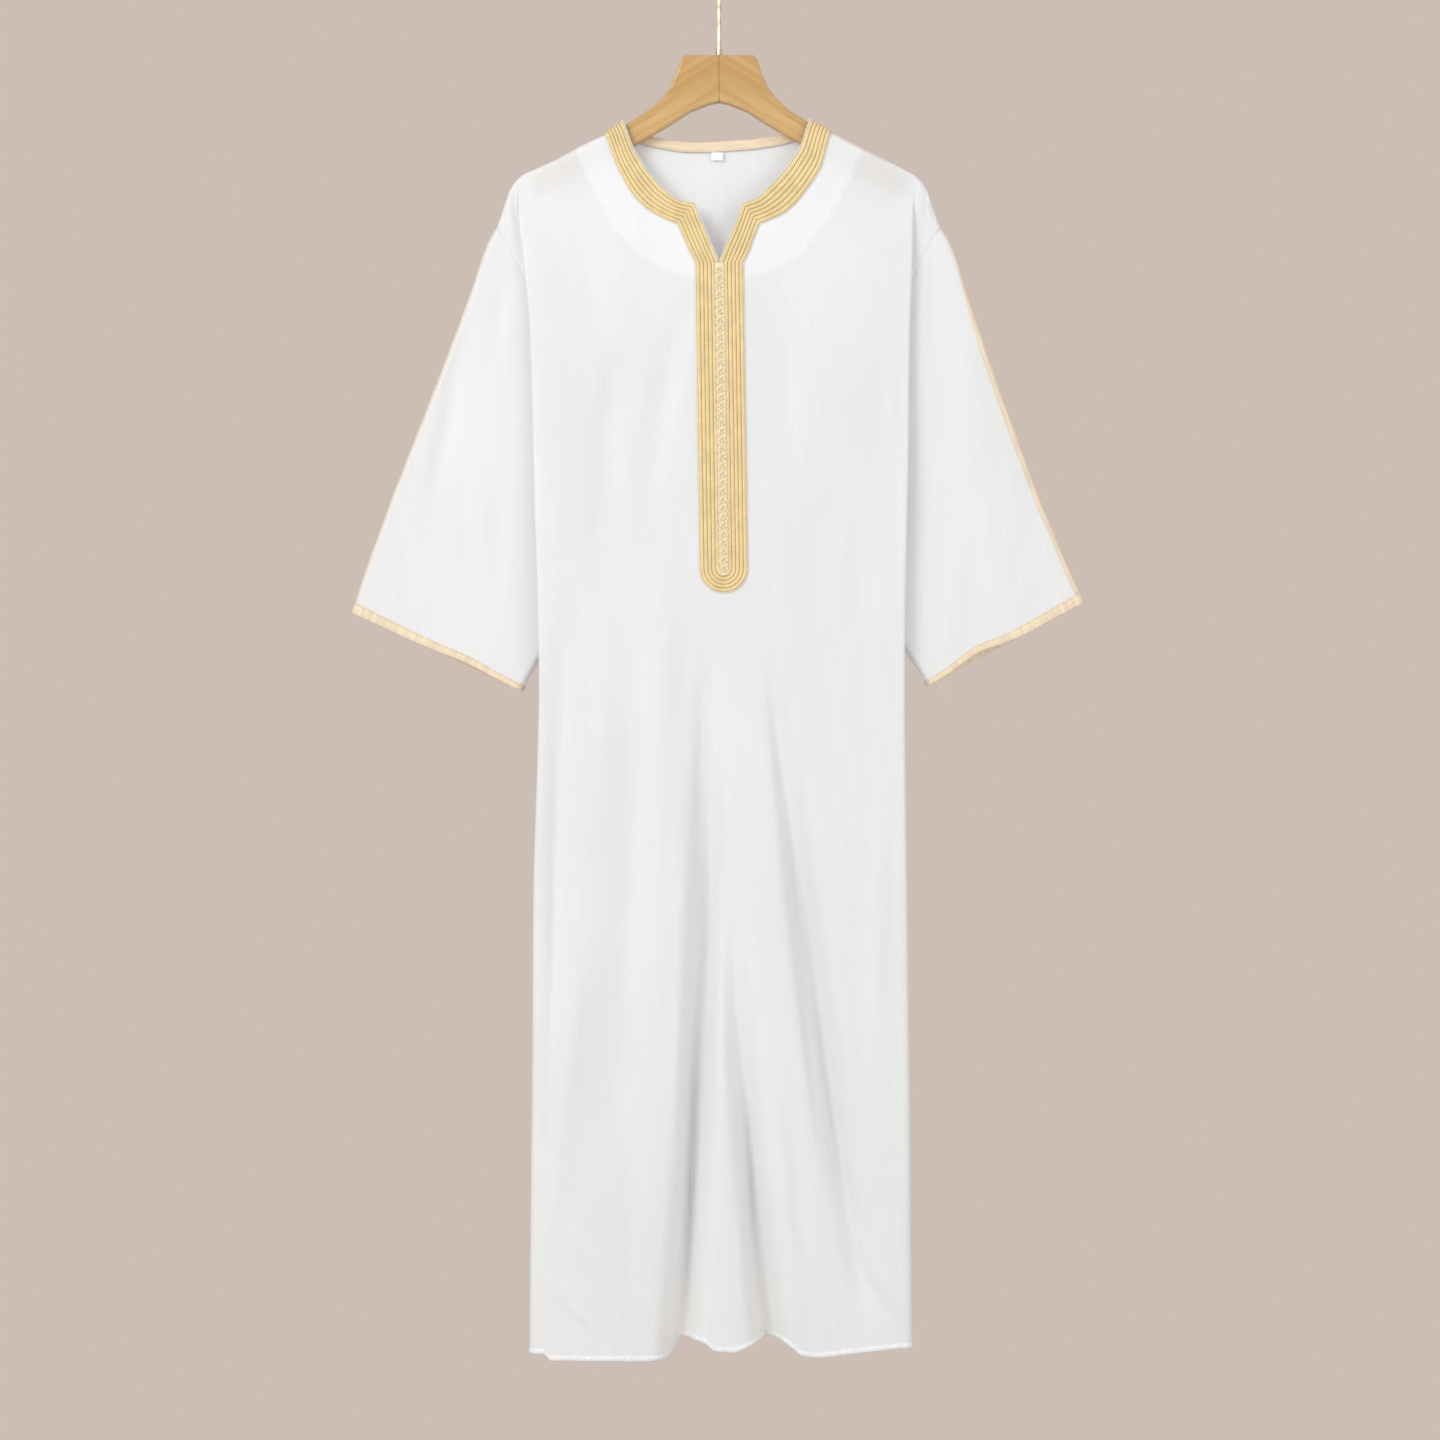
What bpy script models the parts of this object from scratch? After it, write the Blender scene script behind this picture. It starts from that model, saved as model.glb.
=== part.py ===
"""A long robe with wide sleeves, hung on a flat wooden hanger with a wire hook.

Metres, +Z up, the front of the robe towards -Y and its wearer's right towards -X. The origin is
the seat of the hook, the point of its inner top that rests on a rail. Tables give millimetres:
x from the middle, and drop, the distance below the seat.
"""

import math
from collections import namedtuple

import bpy
import bmesh
from mathutils import Vector

MM = 0.001

# Cloth and trims
CLOTH = 1.2
SEAM_GAP = 0.3
SEAM_EDGE = 0.7
TRIM = 0.9
SATIN_WIDTH = 10.0
HEM_EDGE_DROP = 1528.0
SEAM_HEM_RISE = 70.0
LEFT = -1
RIGHT = 1

# Shoulders and sleeves
SHOULDER_ROUND = 8.0
SHOULDER_SLOPE = 0.6
SEAM_TOP_DROP = 302.0
ARMPIT_DROP = 611.0
ARMPIT_X = 101.0
SLEEVE_HALF = 6.0
SLEEVE_ROUND = 6.0
CUFF_FLARE = 3.0
CUFF_ARCH = 7.0
SIDE_HEM_START = 1000.0
RIDGE_COSINE = 0.93
UNDER_COSINE = 0.83
FLARE_START = 560.0
FLARE_RUN = 200.0
CUFF_ARCH_PLACE = 0.68
CUFF_ARCH_WIDTH = 0.16
CUFF_ARCH_LEFT = 0.4
SLEEVE_FOLD_MARGIN = 0.15

# Side folds of the body
FOLD_SHARE = 0.38
BEND_SHARE = 0.2
ARC_STEPS = 2
BEND_STEPS = 2
RETURN_STEPS = 2
CAP_PLACES = (0.35, 0.07, 0.0)
FOLD_MARGIN = 30.0
SIDE_X = 205.0
SKIRT_DROP = 1200.0

# Binding along the back of the neck
NECK_LEFT = -88.0
NECK_RIGHT = 84.0
NECK_STEPS = 14
BINDING_TURN = 0.6
BINDING_CREST = 0.5

# Label inside the back of the neck
LABEL_WIDTH = 13.0
LABEL_HEIGHT = 9.0
LABEL_THICKNESS = 0.8
LABEL_CLEARANCE = 0.3
LABEL_X = -2.0
LABEL_DROP = 221.5

# Braid and buttons
BRAID_WIDTH = 25.0
BRAID_CORDS = 6
BRAID_BASE = 0.8
BRAID_CORD = 1.7
BRAID_LIFT = 0.5
SHOULDER_LIFT = 0.7
SHOULDER_LIFT_DROP = 190.0
SHOULDER_LIFT_RUN = 30.0
PLACKET_END_DROP = 674.5
KNOT_COUNT = 36
KNOT_PITCH = 9.3
KNOT_WIDTH = 10.4
KNOT_HEIGHT = 5.0
KNOT_START_DROP = 346.0
KNOT_SIDES = 6
KNOT_WAIST = 0.62

# Hanger
WOOD_THICKNESS = 13.0
WOOD_BEVEL = 2.5
WIRE_RADIUS = 1.8
HOOK_INNER = 19.0
HANGER_TOP_DROP = 114.2
FERRULE_HEIGHT = 7.0
FERRULE_RADIUS = 3.4
FERRULE_EASE_IN = 0.6
FERRULE_EASE_DOWN = 0.8
METAL_GAP = 0.3
HOOK_STEPS = 22
HOOK_START_DEGREES = -62
HOOK_END_DEGREES = 205

Body = namedtuple("Body", "drop left right tuck front back fold bend")
BODY = (
    Body(243, 217.0, 211.0, 0, 10.6, 10.6, 2.0, 0.6),
    Body(262, 218.3, 211.8, 0, 11.6, 11.6, 2.4, 0.7),
    Body(286, 218.2, 211.2, 6, 13.4, 13.4, 2.6, 0.8),
    Body(315, 215.1, 210.6, 15, 15.5, 15.0, 2.8, 0.9),
    Body(345, 211.5, 210.0, 27, 17.5, 16.5, 3.0, 1.0),
    Body(413, 205.3, 207.3, 54, 19.5, 18.5, 3.2, 1.0),
    Body(489, 202.7, 206.2, 80, 21.0, 20.0, 3.3, 1.2),
    Body(544, 201.1, 205.6, 98, 22.5, 21.0, 3.4, 1.6),
    Body(611, 199.6, 204.2, 110, 24.5, 22.5, 3.5, 3.9),
    Body(700, 196.6, 202.0, 108, 27.0, 25.0, 3.8, 3.8),
    Body(800, 194.7, 201.1, 99, 30.0, 28.0, 4.2, 3.5),
    Body(900, 196.9, 201.8, 88, 34.0, 31.0, 5.0, 3.0),
    Body(1040, 200.5, 203.4, 78, 40.0, 35.0, 6.0, 3.0),
    Body(1200, 201.0, 205.0, 68, 46.0, 39.0, 7.0, 3.0),
    Body(1380, 202.6, 206.6, 58, 52.0, 43.0, 8.0, 3.0),
    Body(1530, 203.4, 207.3, 50, 57.0, 46.0, 9.0, 3.0),
)

Ridge = namedtuple("Ridge", "drop left right")
RIDGE = (
    Ridge(243, 217.0, 211.0),
    Ridge(248, 219.6, 219.0),
    Ridge(262, 228.4, 227.0),
    Ridge(276, 233.3, 232.0),
    Ridge(302, 242.4, 241.5),
    Ridge(380, 272.5, 271.4),
    Ridge(489, 313.9, 309.6),
    Ridge(598, 356.4, 349.9),
    Ridge(686, 388.0, 387.0),
    Ridge(707, 395.0, 395.9),
    Ridge(721, 399.0, 401.0),
)

Cuff = namedtuple("Cuff", "side ridge_drop under_x under_drop")
CUFFS = (Cuff(LEFT, 720.4, 214.3, 806.0), Cuff(RIGHT, 709.0, 227.5, 800.6))

Top = namedtuple("Top", "x drop steps")
FRONT_TOP = (
    Top(-217.0, 243.0, 1),
    Top(-199.5, 237.5, 1),
    Top(-177.7, 227.7, 2),
    Top(-150.4, 212.6, 2),
    Top(-123.6, 200.1, 1),
    Top(-104.6, 187.4, 1),
    Top(-103.7, 189.8, 1),
    Top(-101.5, 195.8, 1),
    Top(-93.7, 216.8, 1),
    Top(-79.6, 239.7, 1),
    Top(-61.0, 261.5, 2),
    Top(-42.5, 274.6, 1),
    Top(-26.7, 277.8, 1),
    Top(-19.6, 296.4, 2),
    Top(0.4, 341.5, 2),
    Top(18.5, 299.6, 1),
    Top(25.7, 277.8, 1),
    Top(43.6, 270.9, 1),
    Top(52.9, 261.5, 1),
    Top(74.1, 238.6, 2),
    Top(89.4, 214.6, 1),
    Top(96.2, 194.2, 1),
    Top(98.4, 187.6, 1),
    Top(99.2, 185.2, 2),
    Top(121.5, 197.7, 2),
    Top(161.3, 218.0, 2),
    Top(191.0, 232.5, 1),
    Top(211.0, 243.0, 0),
)
BACK_TOP = (
    Top(-217.0, 243.0, 1),
    Top(-177.7, 227.7, 2),
    Top(-123.6, 200.1, 1),
    Top(-104.6, 187.4, 1),
    Top(-102.5, 188.7, 1),
    Top(-90.0, 196.5, 1),
    Top(-73.0, 202.0, 2),
    Top(-30.5, 208.0, 3),
    Top(31.6, 205.0, 2),
    Top(68.7, 199.5, 1),
    Top(86.0, 194.0, 1),
    Top(97.2, 186.6, 1),
    Top(99.2, 185.2, 1),
    Top(121.5, 197.7, 2),
    Top(161.3, 218.0, 2),
    Top(211.0, 243.0, 0),
)

Hem = namedtuple("Hem", "x drop")
FRONT_HEM = (
    Hem(-204, 1517.0),
    Hem(-197, 1524.0),
    Hem(-66, 1525.0),
    Hem(-57, 1521.0),
    Hem(-48, 1506.0),
    Hem(-28, 1504.0),
    Hem(-15, 1507.0),
    Hem(-5, 1514.0),
    Hem(14, 1515.5),
    Hem(39, 1508.0),
    Hem(54, 1504.0),
    Hem(68, 1504.0),
    Hem(82, 1510.0),
    Hem(95, 1519.0),
    Hem(113, 1521.0),
    Hem(144, 1518.0),
    Hem(207, 1511.0),
)
BACK_HEM = (
    Hem(-204, 1458.0),
    Hem(-150, 1461.0),
    Hem(-80, 1450.0),
    Hem(-20, 1455.0),
    Hem(50, 1447.0),
    Hem(120, 1459.0),
    Hem(207, 1458.0),
)

Fold = namedtuple("Fold", "name start full end x_start x_middle x_end width depth fade")
FRONT_FOLDS = (
    Fold("left valley from the placket", 700, 1150, 1530, -21, -29, -48, 16, -36, 0),
    Fold("right valley from the placket", 705, 1120, 1470, 41, 90, 143, 18, -27, 1),
    Fold("middle valley", 880, 1450, 1530, 3, 28, 58, 14, -27, 0),
    Fold("left wide hollow", 740, 950, 1440, -103, -115, -160, 25, -9, 1),
    Fold("left edge hollow", 690, 900, 1240, -172, -178, -180, 12, -6, 1),
    Fold("left ridge under the placket", 640, 800, 1100, -56, -66, -62, 20, 5, 1),
    Fold("lower left ridge", 1040, 1200, 1460, -146, -166, -184, 15, 6, 1),
    Fold("chest crease beside the placket", 360, 480, 700, -34, -62, -80, 13, -4, 1),
    Fold("left chest hollow", 410, 500, 760, -102, -124, -118, 17, -4, 1),
    Fold("right chest hollow", 410, 480, 640, 70, 78, 88, 14, -3, 1),
)
BACK_FOLDS = (
    Fold("back middle valley", 520, 1100, 1530, -6, -14, -34, 20, -22, 0),
    Fold("back left valley", 640, 1200, 1530, -78, -92, -116, 18, -20, 0),
    Fold("back right valley", 580, 1150, 1530, 66, 82, 98, 19, -23, 0),
    Fold("back shoulder crease", 300, 380, 620, 118, 96, 84, 15, -3, 1),
)
SLEEVE_FOLDS = (
    Fold("right front upper", 430, 520, 720, 236, 262, 300, 12, -2.4, 1),
    Fold("right front corner", 540, 600, 700, 352, 350, 338, 11, -2.2, 1),
    Fold("left front upper", 380, 480, 700, -270, -300, -316, 13, -2.4, 1),
    Fold("left front lower", 560, 640, 780, -236, -246, -252, 12, -2.0, 1),
)

EDGE_DROPS = (
    243.0, 244.1, 247.0, 251.0, 262.0, 280.0, 302.0, 307.0, 316.0, 340.0, 385.0, 435.0, 490.0,
    545.0, 590.0, 604.0, 611.0, 680.0, 760.0, 845.0, 935.0, 1030.0, 1125.0, 1220.0, 1315.0,
    1400.0, 1470.0, 1528.0,
)
BACK_EDGE_DROPS = (
    243.0, 244.1, 247.0, 251.0, 262.0, 280.0, 302.0, 307.0, 316.0, 350.0, 420.0, 490.0,
    545.0, 590.0, 604.0, 611.0, 710.0, 830.0, 960.0, 1100.0, 1240.0, 1380.0, 1528.0,
)
ROUND_ROWS = 4

SLEEVE_SPREAD = (0.0, 0.006, 0.016, 0.03, 0.14, 0.28, 0.44, 0.6, 0.76, 0.9, 0.97, 0.984, 0.994, 1.0)
SLEEVE_ROWS = (0.002, 0.12, 0.24, 0.36, 0.48, 0.6, 0.72, 0.85, 0.975, 0.98, 1.0)
CUFF_BINDING_ROWS = (0.98, 1.0, 1.004)
TAPE_START = 0.004

Edges = namedtuple("Edges", "inner_x inner_drop outer_x outer_drop")
BRAID_LEFT = (
    Edges(-104.4, 188.4, -123.0, 201.2),
    Edges(-103.2, 191.6, -121.9, 204.6),
    Edges(-101.0, 197.2, -119.6, 210.8),
    Edges(-93.7, 216.8, -111.2, 234.2),
    Edges(-86.8, 228.5, -104.2, 248.5),
    Edges(-79.6, 239.7, -97.0, 261.5),
    Edges(-70.5, 251.0, -87.5, 274.0),
    Edges(-61.0, 261.5, -75.5, 284.5),
    Edges(-43.5, 274.0, -60.0, 293.2),
    Edges(-26.7, 277.8, -44.7, 299.6),
    Edges(-19.6, 296.4, -38.2, 314.0),
    Edges(-8.8, 322.0, -31.6, 329.0),
)
BRAID_RIGHT = (
    Edges(99.0, 186.2, 120.9, 198.6),
    Edges(98.0, 189.2, 119.8, 202.2),
    Edges(96.0, 195.2, 117.7, 209.2),
    Edges(89.4, 214.6, 111.2, 234.2),
    Edges(82.0, 227.0, 103.6, 248.5),
    Edges(74.1, 238.6, 94.8, 261.5),
    Edges(63.8, 250.5, 84.5, 274.5),
    Edges(52.9, 261.5, 72.0, 286.3),
    Edges(42.0, 271.6, 58.0, 293.6),
    Edges(25.7, 277.8, 43.6, 299.6),
    Edges(18.5, 299.6, 37.6, 315.0),
    Edges(8.8, 322.0, 32.7, 329.0),
)
PLACKET_START_DROP = 342.5
PLACKET_LEAN_DROPS = (342.5, 700.0)
PLACKET_LEAN_X = (0.45, 5.6)
BRAID_SPLIT = 0.45
BRAID_STRAIGHT_STEPS = 11
BRAID_TURN_STEPS = 10

Wood = namedtuple("Wood", "x drop")
WOOD_TOP = (
    Wood(0, 114.2),
    Wood(36.5, 114.2),
    Wood(41, 118),
    Wood(46.5, 134),
    Wood(53, 148.5),
    Wood(62, 161),
    Wood(77, 174.2),
    Wood(99, 188.6),
    Wood(123, 203.8),
    Wood(150, 217.4),
    Wood(177, 232.2),
    Wood(191, 240.5),
    Wood(198, 245.5),
    Wood(202, 252),
)
WOOD_BOTTOM = (
    Wood(201, 260),
    Wood(195, 266),
    Wood(178, 258),
    Wood(150, 243.5),
    Wood(123, 229.5),
    Wood(92, 212),
    Wood(74, 202),
    Wood(51, 188.5),
    Wood(31, 175.5),
    Wood(10.5, 167.3),
    Wood(0, 165.2),
)

Stem = namedtuple("Stem", "x drop")
HOOK_STEM = (
    Stem(0.0, 113.9),
    Stem(0.0, 80.0),
    Stem(0.0, 54.0),
    Stem(0.8, 48.5),
    Stem(2.8, 44.2),
    Stem(6.0, 40.6),
)


def empty_scene():
    for old in list(bpy.data.objects):
        bpy.data.objects.remove(old, do_unlink=True)


def named_collection(name):
    collection = bpy.data.collections.new(name)
    bpy.context.scene.collection.children.link(collection)
    return collection


def principled(name, colour, roughness, metallic=0.0):
    material = bpy.data.materials.new(name)
    material.use_nodes = True
    shader = material.node_tree.nodes["Principled BSDF"]
    shader.inputs["Base Color"].default_value = (*colour, 1.0)
    shader.inputs["Roughness"].default_value = roughness
    shader.inputs["Metallic"].default_value = metallic
    return material


def smooth_read(places, values, at):
    """Reads a table smoothly, with no overshoot between its rows."""
    if at <= places[0]:
        return values[0]
    if at >= places[-1]:
        return values[-1]
    i = max(k for k in range(len(places) - 1) if places[k] <= at)
    steps = [b - a for a, b in zip(places, places[1:])]
    slopes = [(b - a) / step for a, b, step in zip(values, values[1:], steps)]

    def tangent(k):
        if k == 0 or k == len(values) - 1:
            return slopes[0] if k == 0 else slopes[-1]
        before, after = slopes[k - 1], slopes[k]
        return 2 * before * after / (before + after) if before * after > 0 else 0.0

    width = steps[i]
    t = (at - places[i]) / width
    start = values[i] * (1 + 2 * t) * (1 - t) ** 2 + tangent(i) * width * t * (1 - t) ** 2
    finish = values[i + 1] * t * t * (3 - 2 * t) - tangent(i + 1) * width * t * t * (1 - t)
    return start + finish


def straight_read(places, values, at):
    """Reads a table along straight lines between its rows."""
    if at <= places[0]:
        return values[0]
    for k in range(len(places) - 1):
        if at <= places[k + 1]:
            t = (at - places[k]) / (places[k + 1] - places[k])
            return values[k] + (values[k + 1] - values[k]) * t
    return values[-1]


def body_value(name, drop):
    return smooth_read([row.drop for row in BODY], [getattr(row, name) for row in BODY], drop)


def side_name(side):
    return "left" if side == LEFT else "right"


def ridge_x(side, drop):
    """How far out the top line of a sleeve lies at a drop."""
    return smooth_read([row.drop for row in RIDGE],
                       [getattr(row, side_name(side)) for row in RIDGE], drop)


def cuff_of(side):
    return CUFFS[0] if side == LEFT else CUFFS[1]


def under_x(side, drop):
    """How far out the underarm line of a sleeve lies at a drop."""
    cuff = cuff_of(side)
    t = (drop - ARMPIT_DROP) / (cuff.under_drop - ARMPIT_DROP)
    return ARMPIT_X + (cuff.under_x - ARMPIT_X) * t


def seam_x(side, drop):
    """How far out the armhole seam lies at a drop."""
    top = ridge_x(side, SEAM_TOP_DROP)
    t = (drop - SEAM_TOP_DROP) / (ARMPIT_DROP - SEAM_TOP_DROP)
    return top + (ARMPIT_X - top) * t


def rounded(distance, radius):
    """Height of a rounded edge, from 0 on the edge to 1 where the wall runs flat."""
    t = min(max(distance / radius, 0.0), 1.0)
    return math.sqrt(1.0 - (1.0 - t) ** 2)


def smooth_step(t):
    t = min(max(t, 0.0), 1.0)
    return t * t * (3 - 2 * t)


def fold_relief(folds, x, drop):
    """Adds up the folds at a place, ridges outwards and valleys inwards."""
    relief = 0.0
    for fold in folds:
        if drop <= fold.start or (fold.fade and drop >= fold.end):
            continue
        t = min((drop - fold.start) / (fold.end - fold.start), 1.0)
        middle = ((1 - t) * (1 - 2 * t) * fold.x_start + 4 * t * (1 - t) * fold.x_middle
                  + t * (2 * t - 1) * fold.x_end)
        strength = smooth_step((drop - fold.start) / (fold.full - fold.start))
        if fold.fade:
            strength *= smooth_step((fold.end - drop) / (fold.end - fold.full))
        relief += fold.depth * strength * math.exp(-((x - middle) / fold.width) ** 2)
    return relief


def shoulder_drop(x):
    """Drop of the shoulder line, carried on upwards over the neck."""
    line = [row for row in FRONT_TOP if row.x <= -104 or row.x >= 99]
    left = [row for row in line if row.x < 0]
    right = [row for row in line if row.x > 0]
    if x <= left[-1].x or x >= right[0].x:
        rows = left if x < 0 else right
        return straight_read([row.x for row in rows], [row.drop for row in rows], x)
    edge = left[-1] if x < 0 else right[0]
    return edge.drop - SHOULDER_SLOPE * abs(x - edge.x)


def panel_depth(face, x, drop):
    """How far a body panel's outer face stands out from the middle plane."""
    base = body_value(face, drop)
    below = drop - shoulder_drop(x)
    edge = body_value("left" if x < 0 else "right", drop)
    folds = FRONT_FOLDS if face == "front" else BACK_FOLDS
    window = smooth_step((edge - abs(x)) / FOLD_MARGIN)
    depth = SEAM_EDGE + (base - SEAM_EDGE) * rounded(below, SHOULDER_ROUND)
    return depth + window * fold_relief(folds, x, drop)


def sleeve_depth(side, x, drop):
    """How far a sleeve's outer face stands out, with round edges at its two seams."""
    from_ridge = (ridge_x(side, drop) - abs(x)) * RIDGE_COSINE
    from_under = (abs(x) - under_x(side, drop)) * UNDER_COSINE
    flare = CUFF_FLARE * smooth_step((drop - FLARE_START) / FLARE_RUN)
    edges = rounded(from_ridge, SLEEVE_ROUND) * rounded(from_under, SLEEVE_ROUND)
    return SEAM_EDGE + (SLEEVE_HALF + flare) * edges


def arc(centre_x, centre_d, radius, start, finish, steps):
    """Points of an arc in the plane of x and depth, angles in radians from +x towards +depth."""
    points = []
    for k in range(steps + 1):
        angle = start + (finish - start) * k / steps
        points.append((centre_x + radius * math.cos(angle), centre_d + radius * math.sin(angle)))
    return points


def side_section(face, side, drop, hem_rise):
    """One side of a panel at a drop: round the fold, back inwards, round the bend, out to the seam.

    Gives distances out from the middle, depths and drops, from the fold to the far edge.
    """
    edge = body_value(side_name(side), drop)
    if drop < SEAM_TOP_DROP:
        far = ridge_x(side, drop)
    else:
        far = seam_x(side, drop) - SEAM_GAP
    tuck = max(body_value("tuck", drop), -0.5 * max(far - edge, 0.0))
    inner = edge - tuck
    joined = drop < ARMPIT_DROP and far > inner
    outer_depth = panel_depth(face, side * edge, drop)
    if joined:
        inner_depth = min(sleeve_depth(side, side * inner, drop), outer_depth)
    else:
        inner_depth = SEAM_GAP / 2 + CLOTH
    inner_depth = max(inner_depth, SEAM_GAP / 2 + CLOTH) if drop > SEAM_TOP_DROP else inner_depth
    room = outer_depth - inner_depth
    fold_radius = min(body_value("fold", drop), FOLD_SHARE * room)
    bend_radius = min(body_value("bend", drop), BEND_SHARE * room)
    fold_x, fold_d = edge - fold_radius, outer_depth - fold_radius
    bend_x, bend_d = inner + bend_radius, inner_depth + bend_radius
    run, fall = fold_x - bend_x, fold_d - bend_d
    apart = math.hypot(run, fall)
    if apart < 1e-6:
        turn = 0.0
    else:
        lean = math.asin(min(1.0, (fold_radius + bend_radius) / apart))
        turn = math.pi - math.atan2(fall, run) + lean
    points = arc(fold_x, fold_d, fold_radius, math.pi / 2, math.pi / 2 - turn, ARC_STEPS)
    bend = arc(bend_x, bend_d, bend_radius, 1.5 * math.pi - turn, 1.5 * math.pi, BEND_STEPS)
    for k in range(1, RETURN_STEPS):
        t = k / RETURN_STEPS
        points.append(tuple(a + (b - a) * t for a, b in zip(points[ARC_STEPS], bend[0])))
    points += bend
    end_x = bend[-1][0]
    for place in CAP_PLACES:
        if joined and far > end_x:
            out = far - (far - end_x) * place
            points.append((out, min(sleeve_depth(side, side * out, drop), outer_depth)))
        else:
            points.append(points[-1])
    span = max(fold_x - inner, 1.0)
    rise = hem_rise * smooth_step((drop - SIDE_HEM_START) / (HEM_EDGE_DROP - SIDE_HEM_START))
    rows = []
    for k, (out, depth) in enumerate(points):
        share = min(max((fold_x - out) / span, 0.0), 1.0) if k > ARC_STEPS else 0.0
        rows.append((out, depth, drop - rise * share))
    return rows


def spread_top(rows):
    """Places the columns of a panel along its top line."""
    columns = []
    for row, following in zip(rows, rows[1:] + rows[-1:]):
        for k in range(max(row.steps, 1)):
            t = k / max(row.steps, 1)
            columns.append((row.x + (following.x - row.x) * t,
                            row.drop + (following.drop - row.drop) * t))
    return columns


def column_drop(top, hem, row, drops):
    """Drop of one row of a column whose own top and hem differ from the fold edge's."""
    if row < ROUND_ROWS:
        return top + (drops[row] - drops[0])
    start = drops[ROUND_ROWS - 1]
    share = (drops[row] - start) / (drops[-1] - start)
    return top + (start - drops[0]) + (hem - top - (start - drops[0])) * share


def world(x, depth, drop, facing):
    """A point from its place across, its depth and its drop; facing is -1 at the front."""
    return Vector((x, facing * depth, -drop)) * MM


def panel_points(face, top_rows, hem_rows, drops, hem_rise):
    """All rows of points of a body panel, from its left side seam to its right one."""
    facing = -1 if face == "front" else 1
    columns = spread_top(top_rows)
    hem_x = [row.x for row in hem_rows]
    hem_drop = [row.drop for row in hem_rows]
    grid = []
    for row, edge_drop in enumerate(drops):
        sides = {}
        for side in (LEFT, RIGHT):
            last = straight_read(hem_x, hem_drop, side * SIDE_X)
            stretch = (last - SKIRT_DROP) / (HEM_EDGE_DROP - SKIRT_DROP)
            level = min(edge_drop, SKIRT_DROP) + max(edge_drop - SKIRT_DROP, 0.0) * stretch
            section = side_section(face, side, level, hem_rise)
            sides[side] = [world(side * out, depth, drop, facing) for out, depth, drop in section]
        line = list(reversed(sides[LEFT]))
        for x_top, top in columns[1:-1]:
            edge = "left" if x_top < 0 else "right"
            top_edge = body_value(edge, top)
            hem = straight_read(hem_x, hem_drop, x_top)
            drop = column_drop(top, hem, row, drops)
            x = x_top * body_value(edge, drop) / top_edge
            line.append(world(x, panel_depth(face, x, drop), drop, facing))
        line += sides[RIGHT]
        grid.append(line)
    return grid


def sheet_mesh(name, grid, closed=False):
    """An open surface through a grid of points, with points that fall together merged."""
    mesh = bpy.data.meshes.new(name)
    bm = bmesh.new()
    rows = [[bm.verts.new(point) for point in line] for line in grid]
    for upper, lower in zip(rows, rows[1:]):
        count = len(upper)
        for k in range(count if closed else count - 1):
            after = (k + 1) % count
            bm.faces.new((upper[k], lower[k], lower[after], upper[after]))
    bmesh.ops.remove_doubles(bm, verts=bm.verts, dist=0.05 * MM)
    bmesh.ops.dissolve_degenerate(bm, edges=bm.edges, dist=0.01 * MM)
    bm.to_mesh(mesh)
    bm.free()
    return mesh


def shell(name, grid, thickness, material, collection, closed=False, flip=False):
    """A cloth wall whose outer face is the grid."""
    mesh = sheet_mesh(name, grid, closed)
    if flip:
        mesh.flip_normals()
    mesh.materials.append(material)
    mesh.shade_smooth()
    piece = bpy.data.objects.new(name, mesh)
    collection.objects.link(piece)
    wall = piece.modifiers.new("Wall", "SOLIDIFY")
    wall.thickness = thickness * MM
    wall.offset = -1.0
    wall.use_even_offset = False
    return piece


def body_panels(material, collection):
    front = panel_points("front", FRONT_TOP, FRONT_HEM, EDGE_DROPS, SEAM_HEM_RISE)
    back = panel_points("back", BACK_TOP, BACK_HEM, BACK_EDGE_DROPS, 0.0)
    return [shell("front_panel", front, CLOTH, material, collection),
            shell("back_panel", back, CLOTH, material, collection, flip=True)]


def ridge_point(side, t):
    """A point of a sleeve's top line, from the armhole at 0 to the cuff at 1."""
    drop = SEAM_TOP_DROP + (cuff_of(side).ridge_drop - SEAM_TOP_DROP) * t
    return ridge_x(side, drop), drop


def under_point(side, t):
    drop = ARMPIT_DROP + (cuff_of(side).under_drop - ARMPIT_DROP) * t
    return under_x(side, drop), drop


def sleeve_face(side, face, t, share):
    """A point on a sleeve's outer face, share 0 on its top line and 1 under the arm."""
    top_x, top_drop = ridge_point(side, t)
    low_x, low_drop = under_point(side, t)
    x = top_x + (low_x - top_x) * share
    drop = top_drop + (low_drop - top_drop) * share
    facing = -1 if face == "front" else 1
    depth = sleeve_depth(side, x, drop)
    if face == "front":
        window = rounded(min(share, 1 - share), SLEEVE_FOLD_MARGIN)
        depth += window * fold_relief(SLEEVE_FOLDS, side * x, drop)
        arch = math.exp(-((share - CUFF_ARCH_PLACE) / CUFF_ARCH_WIDTH) ** 2) * t ** 4
        drop -= CUFF_ARCH * arch * (1.0 if side == RIGHT else CUFF_ARCH_LEFT)
    return world(side * x, depth, drop, facing)


def over_sleeve(side, face, t, share, lift):
    """A point lifted square to a sleeve's outer face."""
    step = 0.002
    low, high = max(share - step, 0.0), min(share + step, 1.0)
    across = sleeve_face(side, face, t, high) - sleeve_face(side, face, t, low)
    along = sleeve_face(side, face, t + step, share) - sleeve_face(side, face, t - step, share)
    normal = across.cross(along).normalized()
    facing = -1 if face == "front" else 1
    if normal.y * facing < 0:
        normal = -normal
    return sleeve_face(side, face, t, share) + normal * lift * MM


def sleeve_half(side, face, material, collection):
    grid = [[sleeve_face(side, face, t, share) for share in SLEEVE_SPREAD] for t in SLEEVE_ROWS]
    name = f"sleeve_{side_name(side)}_{face}"
    flip = (side == RIGHT) == (face == "front")
    return shell(name, grid, CLOTH, material, collection, flip=flip)


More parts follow.
